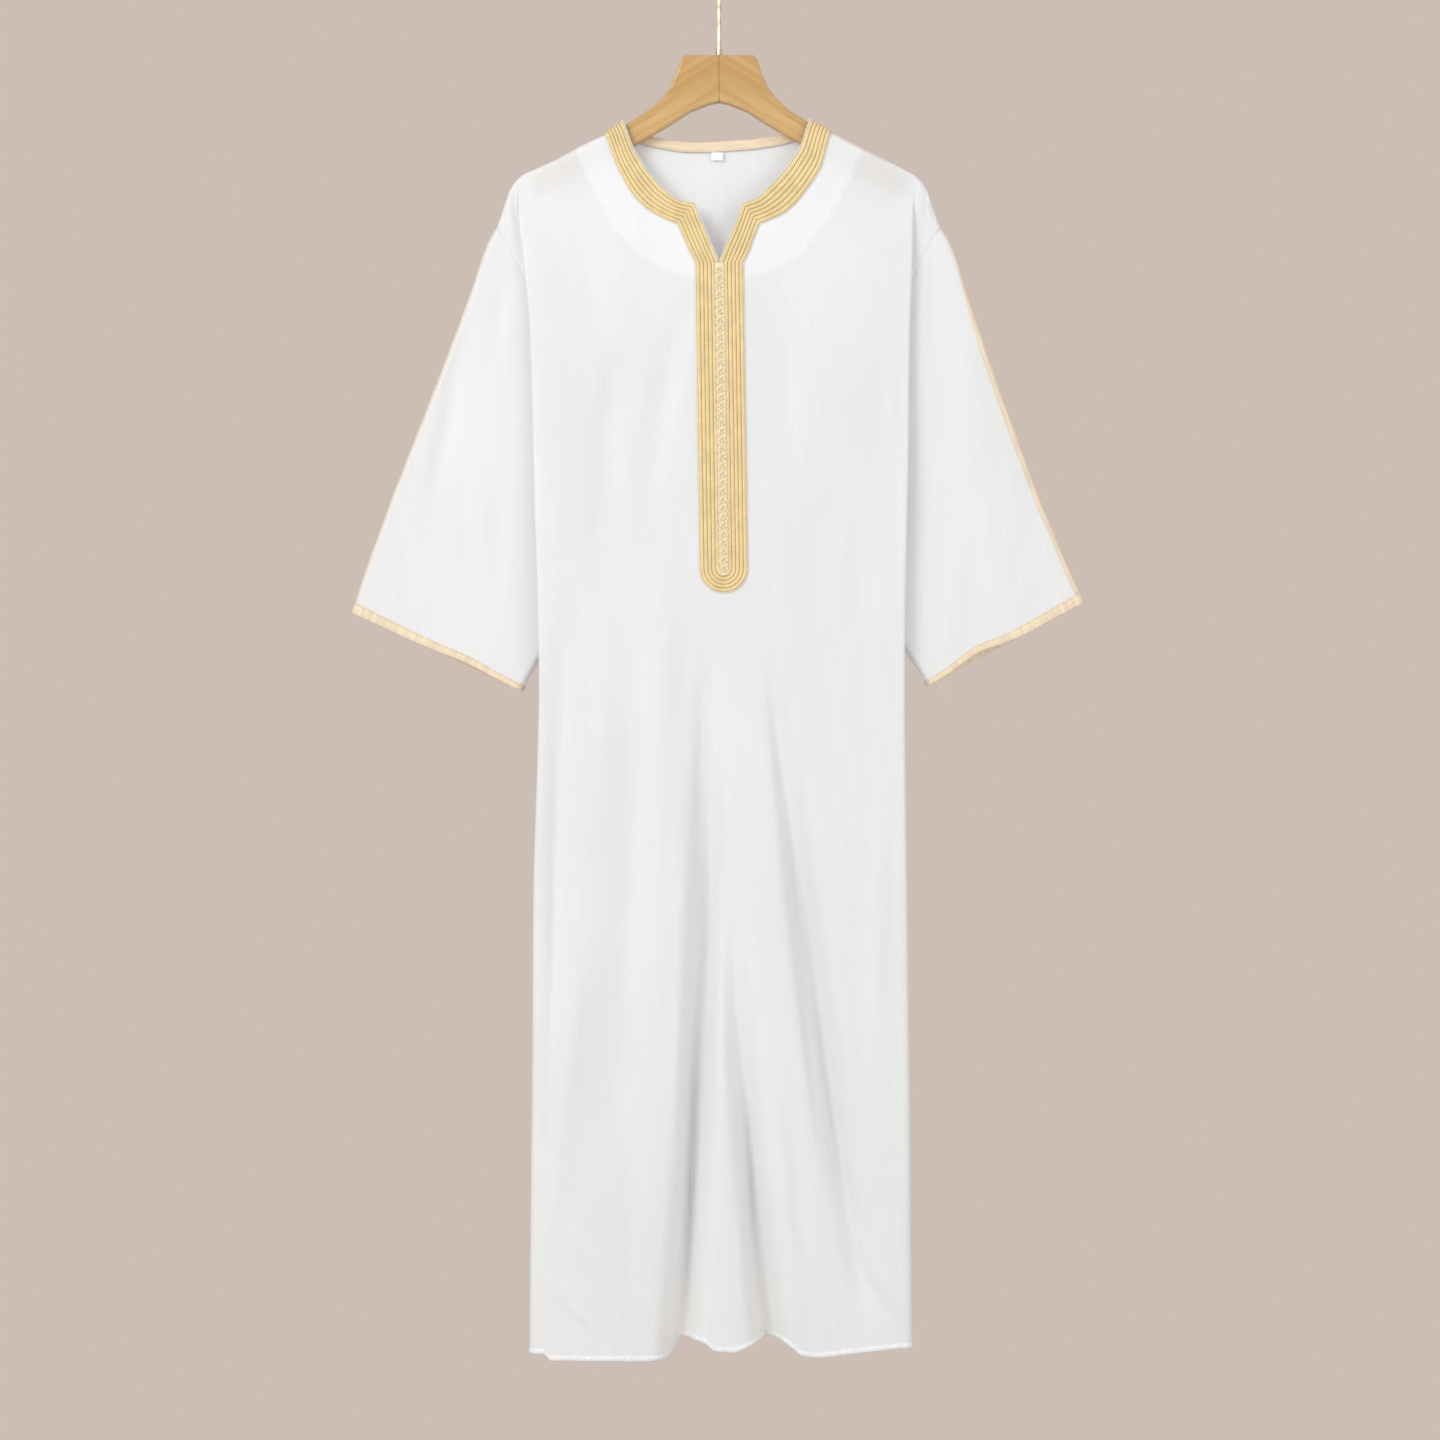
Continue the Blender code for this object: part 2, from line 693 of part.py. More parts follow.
def cuff_binding(side, material, collection):
    """A satin band round the outside of a cuff, in one ring."""
    lift = SEAM_GAP + TRIM
    grid = []
    for t in CUFF_BINDING_ROWS:
        ring = [over_sleeve(side, "front", t, share, lift) for share in SLEEVE_SPREAD]
        ring += [over_sleeve(side, "back", t, share, lift) for share in reversed(SLEEVE_SPREAD)]
        grid.append(ring)
    return shell(f"cuff_binding_{side_name(side)}", grid, TRIM, material, collection,
                 closed=True, flip=side == RIGHT)


def sleeve_tape(side, material, collection):
    """A satin tape folded over the top seam of a sleeve, wider in front on the right."""
    wide, narrow = SLEEVE_SPREAD[:4], SLEEVE_SPREAD[:2]
    front, back = (wide, narrow) if side == RIGHT else (narrow, wide)
    lift = SEAM_GAP + TRIM
    grid = []
    for t in (TAPE_START,) + SLEEVE_ROWS[1:-2]:
        line = [over_sleeve(side, "front", t, share, lift) for share in reversed(front)]
        line += [over_sleeve(side, "back", t, share, lift) for share in back]
        grid.append(line)
    return shell(f"sleeve_{side_name(side)}_tape", grid, TRIM, material, collection,
                 flip=side == LEFT)


def neck_binding(material, collection):
    """A bias strip folded over the back of the neck."""
    grid = []
    lift = SEAM_GAP + TRIM
    for k in range(NECK_STEPS + 1):
        x = NECK_LEFT + (NECK_RIGHT - NECK_LEFT) * k / NECK_STEPS
        top = straight_read([row.x for row in BACK_TOP], [row.drop for row in BACK_TOP], x)
        outer = panel_depth("back", x, top)
        lower = panel_depth("back", x, top + SATIN_WIDTH)
        inside = outer - CLOTH - SEAM_GAP
        inside_low = lower - CLOTH - SEAM_GAP
        grid.append([
            world(x, inside_low - TRIM, top + SATIN_WIDTH, 1),
            world(x, inside - TRIM, top - BINDING_TURN, 1),
            world(x, inside, top - lift - BINDING_CREST, 1),
            world(x, outer + SEAM_GAP, top - lift - BINDING_CREST, 1),
            world(x, outer + lift, top - BINDING_TURN, 1),
            world(x, lower + lift, top + SATIN_WIDTH, 1),
        ])
    return shell("back_neck_binding", grid, TRIM, material, collection)


def size_label(material, collection):
    """The bare woven label under the binding, on the inside of the back."""
    inside = panel_depth("back", LABEL_X, LABEL_DROP) - CLOTH - SEAM_GAP
    depth = inside - LABEL_CLEARANCE - LABEL_THICKNESS / 2
    bpy.ops.mesh.primitive_cube_add(size=1.0)
    label = bpy.context.object
    label.name = "size_label"
    label.scale = (LABEL_WIDTH * MM, LABEL_THICKNESS * MM, LABEL_HEIGHT * MM)
    label.location = (LABEL_X * MM, depth * MM, -LABEL_DROP * MM)
    bpy.ops.object.transform_apply(location=False, rotation=False, scale=True)
    label.data.materials.append(material)
    move_to(label, collection)
    return label


def move_to(piece, collection):
    for old in list(piece.users_collection):
        old.objects.unlink(piece)
    collection.objects.link(piece)


def placket_middle(drop):
    """The middle line of the placket, which leans a little."""
    return straight_read(PLACKET_LEAN_DROPS, PLACKET_LEAN_X, drop)


def placket_edges(side, drop):
    middle = placket_middle(drop)
    return Edges(middle + side * BRAID_SPLIT, drop,
                 middle + side * (BRAID_SPLIT + BRAID_WIDTH), drop)


def braid_stations():
    """Both edges of the braid: down the left, round the end and up the right."""
    run = PLACKET_END_DROP - PLACKET_START_DROP
    drops = [PLACKET_START_DROP + run * k / BRAID_STRAIGHT_STEPS
             for k in range(BRAID_STRAIGHT_STEPS + 1)]
    stations = list(BRAID_LEFT)
    stations += [placket_edges(LEFT, drop) for drop in drops]
    middle = placket_middle(PLACKET_END_DROP)
    reach = BRAID_SPLIT + BRAID_WIDTH
    for k in range(1, BRAID_TURN_STEPS):
        angle = math.pi * k / BRAID_TURN_STEPS
        across, down = -math.cos(angle), math.sin(angle)
        stations.append(Edges(middle + BRAID_SPLIT * across, PLACKET_END_DROP + BRAID_SPLIT * down,
                              middle + reach * across, PLACKET_END_DROP + reach * down))
    stations += [placket_edges(RIGHT, drop) for drop in reversed(drops)]
    return stations + list(reversed(BRAID_RIGHT))


def on_panel(face, x, drop, lift):
    """A point over a body panel's outer face, lifted square to it; a minus sinks it."""
    facing = -1 if face == "front" else 1
    step = 0.4
    depth = panel_depth(face, x, drop)
    across = (panel_depth(face, x + step, drop) - panel_depth(face, x - step, drop)) / (2 * step)
    down = (panel_depth(face, x, drop + step) - panel_depth(face, x, drop - step)) / (2 * step)
    normal = Vector((-across, facing, down)).normalized()
    return world(x, depth, drop, facing) + normal * lift * MM


def neck_braid(material, collection):
    """The corded braid: one strip with six round cords raised over a plain back."""
    profile = []
    for cord in range(BRAID_CORDS):
        profile.append((cord / BRAID_CORDS, BRAID_BASE))
        profile.append(((cord + 0.5) / BRAID_CORDS, BRAID_BASE + BRAID_CORD))
    profile += [(1.0, BRAID_BASE), (1.0, 0.0), (0.5, 0.0), (0.0, 0.0)]
    bm = bmesh.new()
    rings = []
    for edges in braid_stations():
        ring = []
        for share, height in profile:
            x = edges.inner_x + (edges.outer_x - edges.inner_x) * share
            drop = edges.inner_drop + (edges.outer_drop - edges.inner_drop) * share
            near_shoulder = 1.0 - smooth_step((drop - SHOULDER_LIFT_DROP) / SHOULDER_LIFT_RUN)
            lift = BRAID_LIFT + SHOULDER_LIFT * near_shoulder
            ring.append(bm.verts.new(on_panel("front", x, drop, lift + height)))
        rings.append(ring)
    loft_rings(bm, rings)
    return solid_from(bm, "neck_braid", material, collection)


def loft_rings(bm, rings):
    """Joins closed rings into one body with capped ends."""
    for first, second in zip(rings, rings[1:]):
        count = len(first)
        for k in range(count):
            after = (k + 1) % count
            bm.faces.new((first[k], first[after], second[after], second[k]))
    bm.faces.new(list(reversed(rings[0])))
    bm.faces.new(rings[-1])
    bmesh.ops.recalc_face_normals(bm, faces=bm.faces)


def solid_from(bm, name, material, collection):
    mesh = bpy.data.meshes.new(name)
    bmesh.ops.triangulate(bm, faces=[face for face in bm.faces if len(face.verts) > 4])
    bm.to_mesh(mesh)
    bm.free()
    mesh.materials.append(material)
    piece = bpy.data.objects.new(name, mesh)
    collection.objects.link(piece)
    return piece


def knot_buttons(material, collection):
    """The close row of small knots down the placket, one beaded cord."""
    lift = BRAID_LIFT + BRAID_BASE + BRAID_CORD + SEAM_GAP
    bm = bmesh.new()
    rings = []
    for step in range(2 * KNOT_COUNT + 1):
        drop = KNOT_START_DROP + KNOT_PITCH * step / 2
        size = 1.0 if step % 2 else KNOT_WAIST
        middle = placket_middle(drop)
        base = panel_depth("front", middle, drop) + lift + KNOT_HEIGHT / 2
        ring = []
        for k in range(KNOT_SIDES):
            angle = 2 * math.pi * (k + 0.5) / KNOT_SIDES
            across = 0.5 * KNOT_WIDTH * size * math.cos(angle)
            depth = base + 0.5 * KNOT_HEIGHT * size * math.sin(angle)
            ring.append(bm.verts.new(world(middle + across, depth, drop, -1)))
        rings.append(ring)
    loft_rings(bm, rings)
    return solid_from(bm, "knot_buttons", material, collection)


def hanger(material, collection):
    """The flat wooden hanger: its outline, extruded, with its edges eased."""
    right = [(row.x, -row.drop) for row in WOOD_TOP + WOOD_BOTTOM]
    left = [(-x, z) for x, z in reversed(right) if x > 0]
    outline = right + left
    curve = bpy.data.curves.new("hanger", "CURVE")
    curve.dimensions = "2D"
    curve.fill_mode = "BOTH"
    curve.extrude = WOOD_THICKNESS / 2 * MM
    spline = curve.splines.new("POLY")
    spline.points.add(len(outline) - 1)
    for point, (x, z) in zip(spline.points, outline):
        point.co = (x * MM, z * MM, 0.0, 1.0)
    spline.use_cyclic_u = True
    piece = bpy.data.objects.new("hanger", curve)
    piece.rotation_euler = (math.pi / 2, 0.0, 0.0)
    curve.materials.append(material)
    collection.objects.link(piece)
    weld = piece.modifiers.new("Weld", "WELD")
    weld.merge_threshold = 0.00005
    bevel = piece.modifiers.new("Eased edges", "BEVEL")
    bevel.width = WOOD_BEVEL * MM
    bevel.segments = 2
    bevel.limit_method = "ANGLE"
    bevel.angle_limit = math.radians(60)
    return piece


def hook(material, collection):
    """The wire hook: a straight stem, a sway to one side and most of a ring."""
    radius = HOOK_INNER + WIRE_RADIUS
    centre = -HOOK_INNER
    points = [(row.x, -row.drop) for row in HOOK_STEM]
    start, finish = math.radians(HOOK_START_DEGREES), math.radians(HOOK_END_DEGREES)
    for k in range(HOOK_STEPS + 1):
        angle = start + (finish - start) * k / HOOK_STEPS
        points.append((radius * math.cos(angle), centre + radius * math.sin(angle)))
    curve = bpy.data.curves.new("hook", "CURVE")
    curve.dimensions = "3D"
    curve.bevel_depth = WIRE_RADIUS * MM
    curve.bevel_resolution = 2
    curve.use_fill_caps = True
    spline = curve.splines.new("POLY")
    spline.points.add(len(points) - 1)
    for point, (x, z) in zip(spline.points, points):
        point.co = (x * MM, 0.0, z * MM, 1.0)
    piece = bpy.data.objects.new("hook", curve)
    curve.materials.append(material)
    collection.objects.link(piece)
    return piece


def hook_ferrule(material, collection):
    """The small metal collar that the hook stands in on top of the wood."""
    bore = WIRE_RADIUS + METAL_GAP
    low = -HANGER_TOP_DROP + METAL_GAP
    high = low + FERRULE_HEIGHT
    profile = ((FERRULE_RADIUS - FERRULE_EASE_IN, high), (FERRULE_RADIUS, high - FERRULE_EASE_DOWN),
               (FERRULE_RADIUS, low), (bore, low), (bore, high))
    mesh = bpy.data.meshes.new("hook_ferrule")
    bm = bmesh.new()
    verts = [bm.verts.new((x * MM, 0.0, z * MM)) for x, z in profile]
    for k in range(len(verts)):
        bm.edges.new((verts[k], verts[(k + 1) % len(verts)]))
    bm.to_mesh(mesh)
    bm.free()
    piece = bpy.data.objects.new("hook_ferrule", mesh)
    mesh.materials.append(material)
    collection.objects.link(piece)
    turned = piece.modifiers.new("Turned", "SCREW")
    turned.axis = "Z"
    turned.steps = 12
    turned.render_steps = 12
    turned.use_merge_vertices = True
    turned.merge_threshold = 0.00005
    return piece


def build():
    empty_scene()
    parts = named_collection("thobe_robe_on_hanger")
    cloth = principled("white_cloth", (0.87, 0.87, 0.85), 0.7)
    satin = principled("peach_satin", (0.89, 0.72, 0.50), 0.45)
    gold = principled("gold_braid", (0.73, 0.52, 0.20), 0.45)
    cream = principled("cream_knots", (0.83, 0.70, 0.42), 0.5)
    woven = principled("label_white", (0.86, 0.86, 0.84), 0.7)
    wood = principled("beech", (0.60, 0.34, 0.12), 0.5)
    brass = principled("brass", (0.60, 0.46, 0.22), 0.3, 1.0)
    body_panels(cloth, parts)
    for side in (LEFT, RIGHT):
        for face in ("front", "back"):
            sleeve_half(side, face, cloth, parts)
        sleeve_tape(side, satin, parts)
        cuff_binding(side, satin, parts)
    neck_binding(satin, parts)
    size_label(woven, parts)
    neck_braid(gold, parts)
    knot_buttons(cream, parts)
    hanger(wood, parts)
    hook_ferrule(brass, parts)
    hook(brass, parts)


build()
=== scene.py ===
"""A long white robe with wide sleeves, braid and satin bindings, on a flat wooden hanger.

The soft pieces are dressed over the robe's solids and stand for them. Tables and lengths are in
millimetres: x from the middle, and drop, the distance below the seat of the hanger's hook.
"""

import bisect
import math
from collections import namedtuple

import bpy
import bmesh
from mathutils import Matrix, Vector, noise

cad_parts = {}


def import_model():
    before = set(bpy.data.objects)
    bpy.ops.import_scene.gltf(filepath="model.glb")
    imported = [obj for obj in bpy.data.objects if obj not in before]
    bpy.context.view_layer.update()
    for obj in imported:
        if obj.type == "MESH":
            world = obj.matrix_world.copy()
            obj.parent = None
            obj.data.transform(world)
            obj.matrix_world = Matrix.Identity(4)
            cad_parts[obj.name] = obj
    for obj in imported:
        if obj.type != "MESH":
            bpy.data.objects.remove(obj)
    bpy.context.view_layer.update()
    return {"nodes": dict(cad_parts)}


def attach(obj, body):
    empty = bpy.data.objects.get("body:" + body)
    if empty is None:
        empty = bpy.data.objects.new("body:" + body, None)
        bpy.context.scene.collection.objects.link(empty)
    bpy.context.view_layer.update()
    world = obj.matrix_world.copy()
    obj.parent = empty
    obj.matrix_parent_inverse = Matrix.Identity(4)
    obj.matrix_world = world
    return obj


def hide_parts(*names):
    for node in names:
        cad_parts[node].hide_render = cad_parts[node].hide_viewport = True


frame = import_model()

bl_info = {
    "name": "Robe on a hanger",
    "version": (1, 0, 0),
    "blender": (4, 5, 0),
    "location": "3D View > Sidebar > Robe",
    "description": "Makes a long white robe with gold braid and satin bindings on a hanger",
    "category": "Add Mesh",
}

MM = 0.001
LEFT = -1
RIGHT = 1
FACING = {"front": -1, "back": 1}

# Cloth
SEAM_GAP = 0.3
SEAM_LAP = 1.6
SEAM_DIP = 0.45
SEAM_SOFT = 3.5
SEAM_CURVE = 0.88
SEAM_CURVE_REACH = 0.2
CLOTH = 1.2
SHOULDER_ROUND = 8.0
SHOULDER_SLOPE = 0.6
SEAM_TOP_DROP = 302.0
ARMPIT_DROP = 611.0
ARMPIT_X = 101.0
HEM_EDGE_DROP = 1528.0
SEAM_HEM_RISE = 70.0
SIDE_HEM_START = 1000.0
SIDE_X = 205.0
SKIRT_DROP = 1200.0
FOLD_MARGIN = 30.0
FOLD_START_DROP = 262.0
FOLD_START_RUN = 38.0
TUCK_START_DROP = 268.0
TUCK_START_RUN = 50.0
SHOULDER_EASE = 45.0
OVER_HANGER = 1.3
TIP_MARGIN = 12.0
FOLD_SHARE = 0.38
BEND_SHARE = 0.2
COLUMN_WIDTH = 3.6
ROW_HEIGHT = 5.2
ROUND_OFFSETS = (0.0, 0.4, 1.2, 2.4, 4.0, 6.0, 8.0)
LINING_EDGE = 7.5
FACING_END_X = 157.0
WAVE_START_DROP = 260.0
WAVE_START_RUN = 400.0
HEM_STEP = 2.0
TOO_CLOSE = 0.02

# Sleeves
SLEEVE_HALF = 6.7
SLEEVE_ROUND = 6.0
CUFF_FLARE = 3.0
FLARE_START = 560.0
FLARE_RUN = 200.0
RIDGE_COSINE = 0.93
UNDER_COSINE = 0.83
CUFF_ARCH = 7.0
CUFF_ARCH_PLACE = 0.68
CUFF_ARCH_WIDTH = 0.16
CUFF_ARCH_LEFT = 0.4
SLEEVE_FOLD_MARGIN = 0.15
SLEEVE_CREASE_START = 0.12
SLEEVE_SEAM_END = 0.014
SLEEVE_WAVES = 0.8
SLEEVE_LENGTH = 446.0
SLEEVE_ROWS = 84
SLEEVE_COLUMNS = 60

# Bindings
NECK_LEFT = -90.0
NECK_RIGHT = 86.0
NECK_HEIGHT = 9.8
NECK_STEPS = 110
SATIN = 0.9
SATIN_STITCH_GAP = 0.9
TAPE_LIFT = 0.85

# Braid
BRAID_CORDS = 6
BRAID_BASE = 0.8
BRAID_LIFT = 0.5
SHOULDER_LIFT = 0.7
SHOULDER_LIFT_DROP = 190.0
SHOULDER_LIFT_RUN = 30.0
BRAID_WIDTH = 25.0
BRAID_SPLIT = 0.45
KNOT_COUNT = 36
KNOT_PITCH = 9.3
KNOT_START_DROP = 346.0


def table(columns, *rows):
    """Rows that are read by the names of their columns."""
    kind = namedtuple("Row", columns)
    return tuple(kind(*row) for row in rows)


BODY = table(
    "drop left right tuck front back fold bend",
    (243, 212.5, 211.0, 0, 10.6, 10.6, 2.0, 0.6),
    (262, 218.3, 211.8, 0, 11.6, 11.6, 2.4, 0.7),
    (286, 218.2, 211.2, 6, 13.4, 13.4, 2.6, 0.8),
    (315, 215.1, 210.6, 15, 15.5, 15.0, 2.8, 0.9),
    (345, 211.5, 210.0, 27, 17.5, 16.5, 3.0, 1.0),
    (413, 205.3, 207.3, 54, 19.5, 18.5, 3.2, 1.0),
    (489, 202.7, 206.2, 80, 21.0, 20.0, 3.3, 1.2),
    (544, 201.1, 205.6, 98, 22.5, 21.0, 3.4, 1.6),
    (611, 199.6, 204.2, 110, 24.5, 22.5, 3.5, 3.9),
    (700, 196.6, 202.0, 108, 27.0, 25.0, 3.8, 3.8),
    (800, 194.7, 201.1, 99, 30.0, 28.0, 4.2, 3.5),
    (900, 196.9, 201.8, 88, 34.0, 31.0, 5.0, 3.0),
    (1040, 200.5, 203.4, 78, 40.0, 35.0, 6.0, 3.0),
    (1200, 201.0, 205.0, 68, 46.0, 39.0, 7.0, 3.0),
    (1380, 202.6, 206.6, 58, 52.0, 43.0, 8.0, 3.0),
    (1530, 203.4, 207.3, 50, 57.0, 46.0, 9.0, 3.0),
)

RIDGE = table(
    "drop left right",
    (243, 212.5, 211.0), (248, 218.8, 217.4), (254, 224.0, 222.7), (262, 228.6, 227.2),
    (276, 233.3, 232.0), (302, 242.4, 241.5), (318, 251.0, 251.2), (380, 272.5, 272.4),
    (489, 313.9, 309.6), (598, 356.4, 349.9), (686, 388.0, 387.0), (707, 395.0, 395.9),
    (721, 399.0, 401.0),
)

CUFFS = dict(zip((LEFT, RIGHT), table(
    "ridge_drop under_x under_drop",
    (720.4, 214.3, 806.0), (709.0, 227.5, 800.6),
)))

FRONT_TOP = table(
    "x drop",
    (-212.5, 243.0), (-199.5, 237.5), (-177.7, 227.7), (-150.4, 212.6), (-123.6, 200.1),
    (-104.6, 187.4), (-103.7, 189.8), (-101.5, 195.8), (-93.7, 216.8), (-79.6, 239.7),
    (-61.0, 261.5), (-42.5, 274.6), (-26.7, 277.8), (-19.6, 296.4), (0.4, 341.5), (18.5, 299.6),
    (25.7, 277.8), (43.6, 270.9), (52.9, 261.5), (74.1, 238.6), (89.4, 214.6), (96.2, 194.2),
    (98.4, 187.6), (99.2, 185.2), (121.5, 197.7), (161.3, 218.0), (191.0, 232.5), (211.0, 243.0),
)
BACK_NECK_TOP = table(
    "x drop",
    (-102.5, 188.7), (-90.0, 196.5), (-73.0, 202.0), (-30.5, 208.0), (31.6, 205.0), (68.7, 199.5),
    (86.0, 194.0), (97.2, 186.6),
)
BACK_TOP = FRONT_TOP[:6] + BACK_NECK_TOP + FRONT_TOP[-5:]

FRONT_HEM = table(
    "x drop",
    (-204, 1517.0), (-197, 1524.0), (-66, 1525.0), (-57, 1521.0), (-48, 1506.0), (-28, 1504.0),
    (-15, 1507.0), (-5, 1514.0), (14, 1515.5), (39, 1508.0), (54, 1504.0), (68, 1504.0),
    (82, 1510.0), (95, 1519.0), (113, 1521.0), (144, 1518.0), (207, 1511.0),
)
BACK_HEM = table(
    "x drop",
    (-204, 1458.0), (-150, 1461.0), (-80, 1450.0), (-20, 1455.0), (50, 1447.0), (120, 1459.0),
    (207, 1458.0),
)

FOLD_COLUMNS = "name start full end x_start x_middle x_end width depth fade"
FRONT_FOLDS = table(
    FOLD_COLUMNS,
    ("left valley from the placket", 700, 1150, 1530, -10, -18, -44, 15, -36, 0),
    ("right valley from the placket", 705, 1120, 1600, 56, 106, 180, 14, -30, 1),
    ("middle valley", 880, 1430, 1530, 6, 24, 57, 13, -34, 0),
    ("left wide hollow", 740, 950, 1440, -100, -98, -150, 24, -9, 1),
    ("left edge hollow", 690, 900, 1240, -172, -178, -180, 12, -6, 1),
    ("left ridge under the placket", 640, 800, 1100, -56, -66, -62, 20, 5, 1),
    ("lower left ridge", 1040, 1200, 1460, -146, -166, -184, 15, 6, 1),
    ("chest crease beside the placket", 360, 480, 700, -34, -62, -80, 13, -4, 1),
    ("left chest hollow", 410, 500, 760, -102, -124, -118, 17, -4, 1),
    ("right chest hollow", 410, 480, 640, 70, 78, 88, 14, -3, 1),
)
BACK_FOLDS = table(
    FOLD_COLUMNS,
    ("back middle valley", 520, 1100, 1530, -6, -14, -34, 20, -22, 0),
    ("back left valley", 640, 1200, 1530, -78, -92, -116, 18, -20, 0),
    ("back right valley", 580, 1150, 1530, 66, 82, 98, 19, -23, 0),
    ("back shoulder crease", 300, 380, 620, 118, 96, 84, 15, -3, 1),
)
SLEEVE_FOLDS = table(
    FOLD_COLUMNS,
    ("right front upper", 430, 520, 720, 236, 262, 300, 12, -2.4, 1),
    ("right front corner", 540, 600, 700, 352, 350, 338, 11, -2.2, 1),
    ("left front upper", 380, 480, 700, -270, -300, -316, 13, -2.4, 1),
    ("left front lower", 560, 640, 780, -236, -246, -252, 12, -2.0, 1),
)

EDGE_COLUMNS = "inner_x inner_drop outer_x outer_drop"
BRAID_LEFT = table(
    EDGE_COLUMNS,
    (-104.4, 188.4, -123.0, 201.2), (-103.2, 191.6, -121.9, 204.6), (-101.0, 197.2, -119.6, 210.8),
    (-93.7, 216.8, -111.2, 234.2), (-86.8, 228.5, -104.2, 248.5), (-79.6, 239.7, -97.0, 261.5),
    (-70.5, 251.0, -87.5, 274.0), (-61.0, 261.5, -75.5, 284.5), (-43.5, 274.0, -60.0, 293.2),
    (-26.7, 277.8, -44.7, 299.6), (-19.6, 296.4, -38.2, 314.0), (-8.8, 322.0, -31.6, 329.0),
)
BRAID_RIGHT = table(
    EDGE_COLUMNS,
    (99.0, 186.2, 120.9, 198.6), (98.0, 189.2, 119.8, 202.2), (96.0, 195.2, 117.7, 209.2),
    (89.4, 214.6, 111.2, 234.2), (82.0, 227.0, 103.6, 248.5), (74.1, 238.6, 94.8, 261.5),
    (63.8, 250.5, 84.5, 274.5), (52.9, 261.5, 72.0, 286.3), (42.0, 271.6, 58.0, 293.6),
    (25.7, 277.8, 43.6, 299.6), (18.5, 299.6, 37.6, 315.0), (8.8, 322.0, 32.7, 329.0),
)
PLACKET_START_DROP = 342.5
PLACKET_END_DROP = 674.5
PLACKET_LEAN_DROPS = (342.5, 700.0)
PLACKET_LEAN_X = (0.45, 5.6)

CREASE_COLUMNS = "x_top drop_top x_low drop_low width depth"
FRONT_CREASES = table(
    CREASE_COLUMNS,
    (186, 440, 187, 600, 5, 1.2), (-150, 300, -128, 470, 16, -1.6), (-60, 420, -92, 640, 12, -1.5),
    (-118, 700, -126, 960, 13, 1.6), (-56, 930, -52, 1240, 12, -2.2), (64, 760, 70, 1010, 11, 1.8),
    (150, 640, 160, 900, 12, -1.4), (176, 900, 168, 1220, 10, 1.8),
    (-188, 1395, -148, 1472, 7, -1.8), (-182, 1452, -132, 1506, 6, -1.6),
    (-168, 1372, -120, 1440, 8, 1.4), (60, 1215, 86, 1508, 8, 3.2), (134, 1392, 200, 1512, 8, -3.4),
    (118, 1330, 176, 1480, 9, 1.6), (-24, 1080, -33, 1500, 6, -3.0), (-42, 1120, -45, 1500, 7, 2.6),
    (34, 1220, 37, 1505, 5, -2.6), (24, 1180, 26, 1480, 6, 1.6), (112, 600, 98, 760, 15, -1.2),
    (120, 286, 150, 380, 12, -0.9), (-24, 1000, -20, 1300, 7, 1.5),
    (150, 1000, 146, 1380, 12, -1.8), (-186, 1010, -190, 1180, 6, 1.5),
    (-100, 1200, -96, 1480, 13, -1.8), (-176, 880, -184, 1320, 5, -2.2),
    (55, 790, 112, 1330, 4.6, -6.0), (98, 1120, 160, 1490, 5, -4.4), (-20, 780, -26, 1180, 4, -1.6),
    (-28, 1150, -37, 1640, 4.4, -5.2), (30, 1240, 40, 1500, 4, -1.8),
)
BACK_CREASES = table(
    CREASE_COLUMNS,
    (-140, 300, -110, 520, 16, -1.8), (60, 330, 46, 620, 14, -1.6), (-40, 380, -60, 700, 12, 1.4),
    (150, 500, 160, 880, 13, -1.7), (-150, 760, -158, 1100, 12, 1.9), (20, 760, 30, 1200, 12, 2.2),
    (-44, 1000, -52, 1400, 9, -2.4), (120, 1050, 134, 1440, 10, 2.4),
    (-176, 1240, -140, 1420, 8, -2.0), (168, 1180, 150, 1440, 9, -2.2), (0, 300, 6, 560, 18, -1.2),
    (-3, 236, 0, 500, 30, -6.5),
)
SLEEVE_CREASES = table(
    CREASE_COLUMNS,
    (-352, 640, -318, 700, 7, -1.8), (-300, 470, -330, 600, 9, 1.7),
    (-290, 560, -262, 700, 12, -2.0), (-226, 330, -252, 470, 8, -1.4),
    (-376, 690, -338, 740, 5, -1.3), (228, 330, 238, 450, 6, -1.5), (262, 420, 300, 560, 9, 1.8),
    (300, 520, 312, 690, 8, -2.1), (346, 560, 366, 650, 5, -2.1), (340, 600, 372, 690, 5, 1.7),
    (262, 640, 250, 770, 10, 1.7), (330, 620, 318, 720, 7, -1.5),
)
SHOULDER_GATHERS = table(
    CREASE_COLUMNS,
    (225.5, 256, 224.5, 312, 1.9, -2.8), (229.5, 258, 228.5, 306, 1.9, 1.7),
    (218, 262, 218, 322, 2.2, 1.2), (-224, 262, -216, 330, 2.4, -1.8),
    (-229, 262, -224, 320, 2.2, 1.2),
)
NECK_FACING = table(
    "x drop",
    (0, 366), (34, 358), (60, 349), (86, 335), (115, 300), (140, 256), (157, 217),
)


def smooth_step(t):
    t = min(max(t, 0.0), 1.0)
    return t * t * (3 - 2 * t)


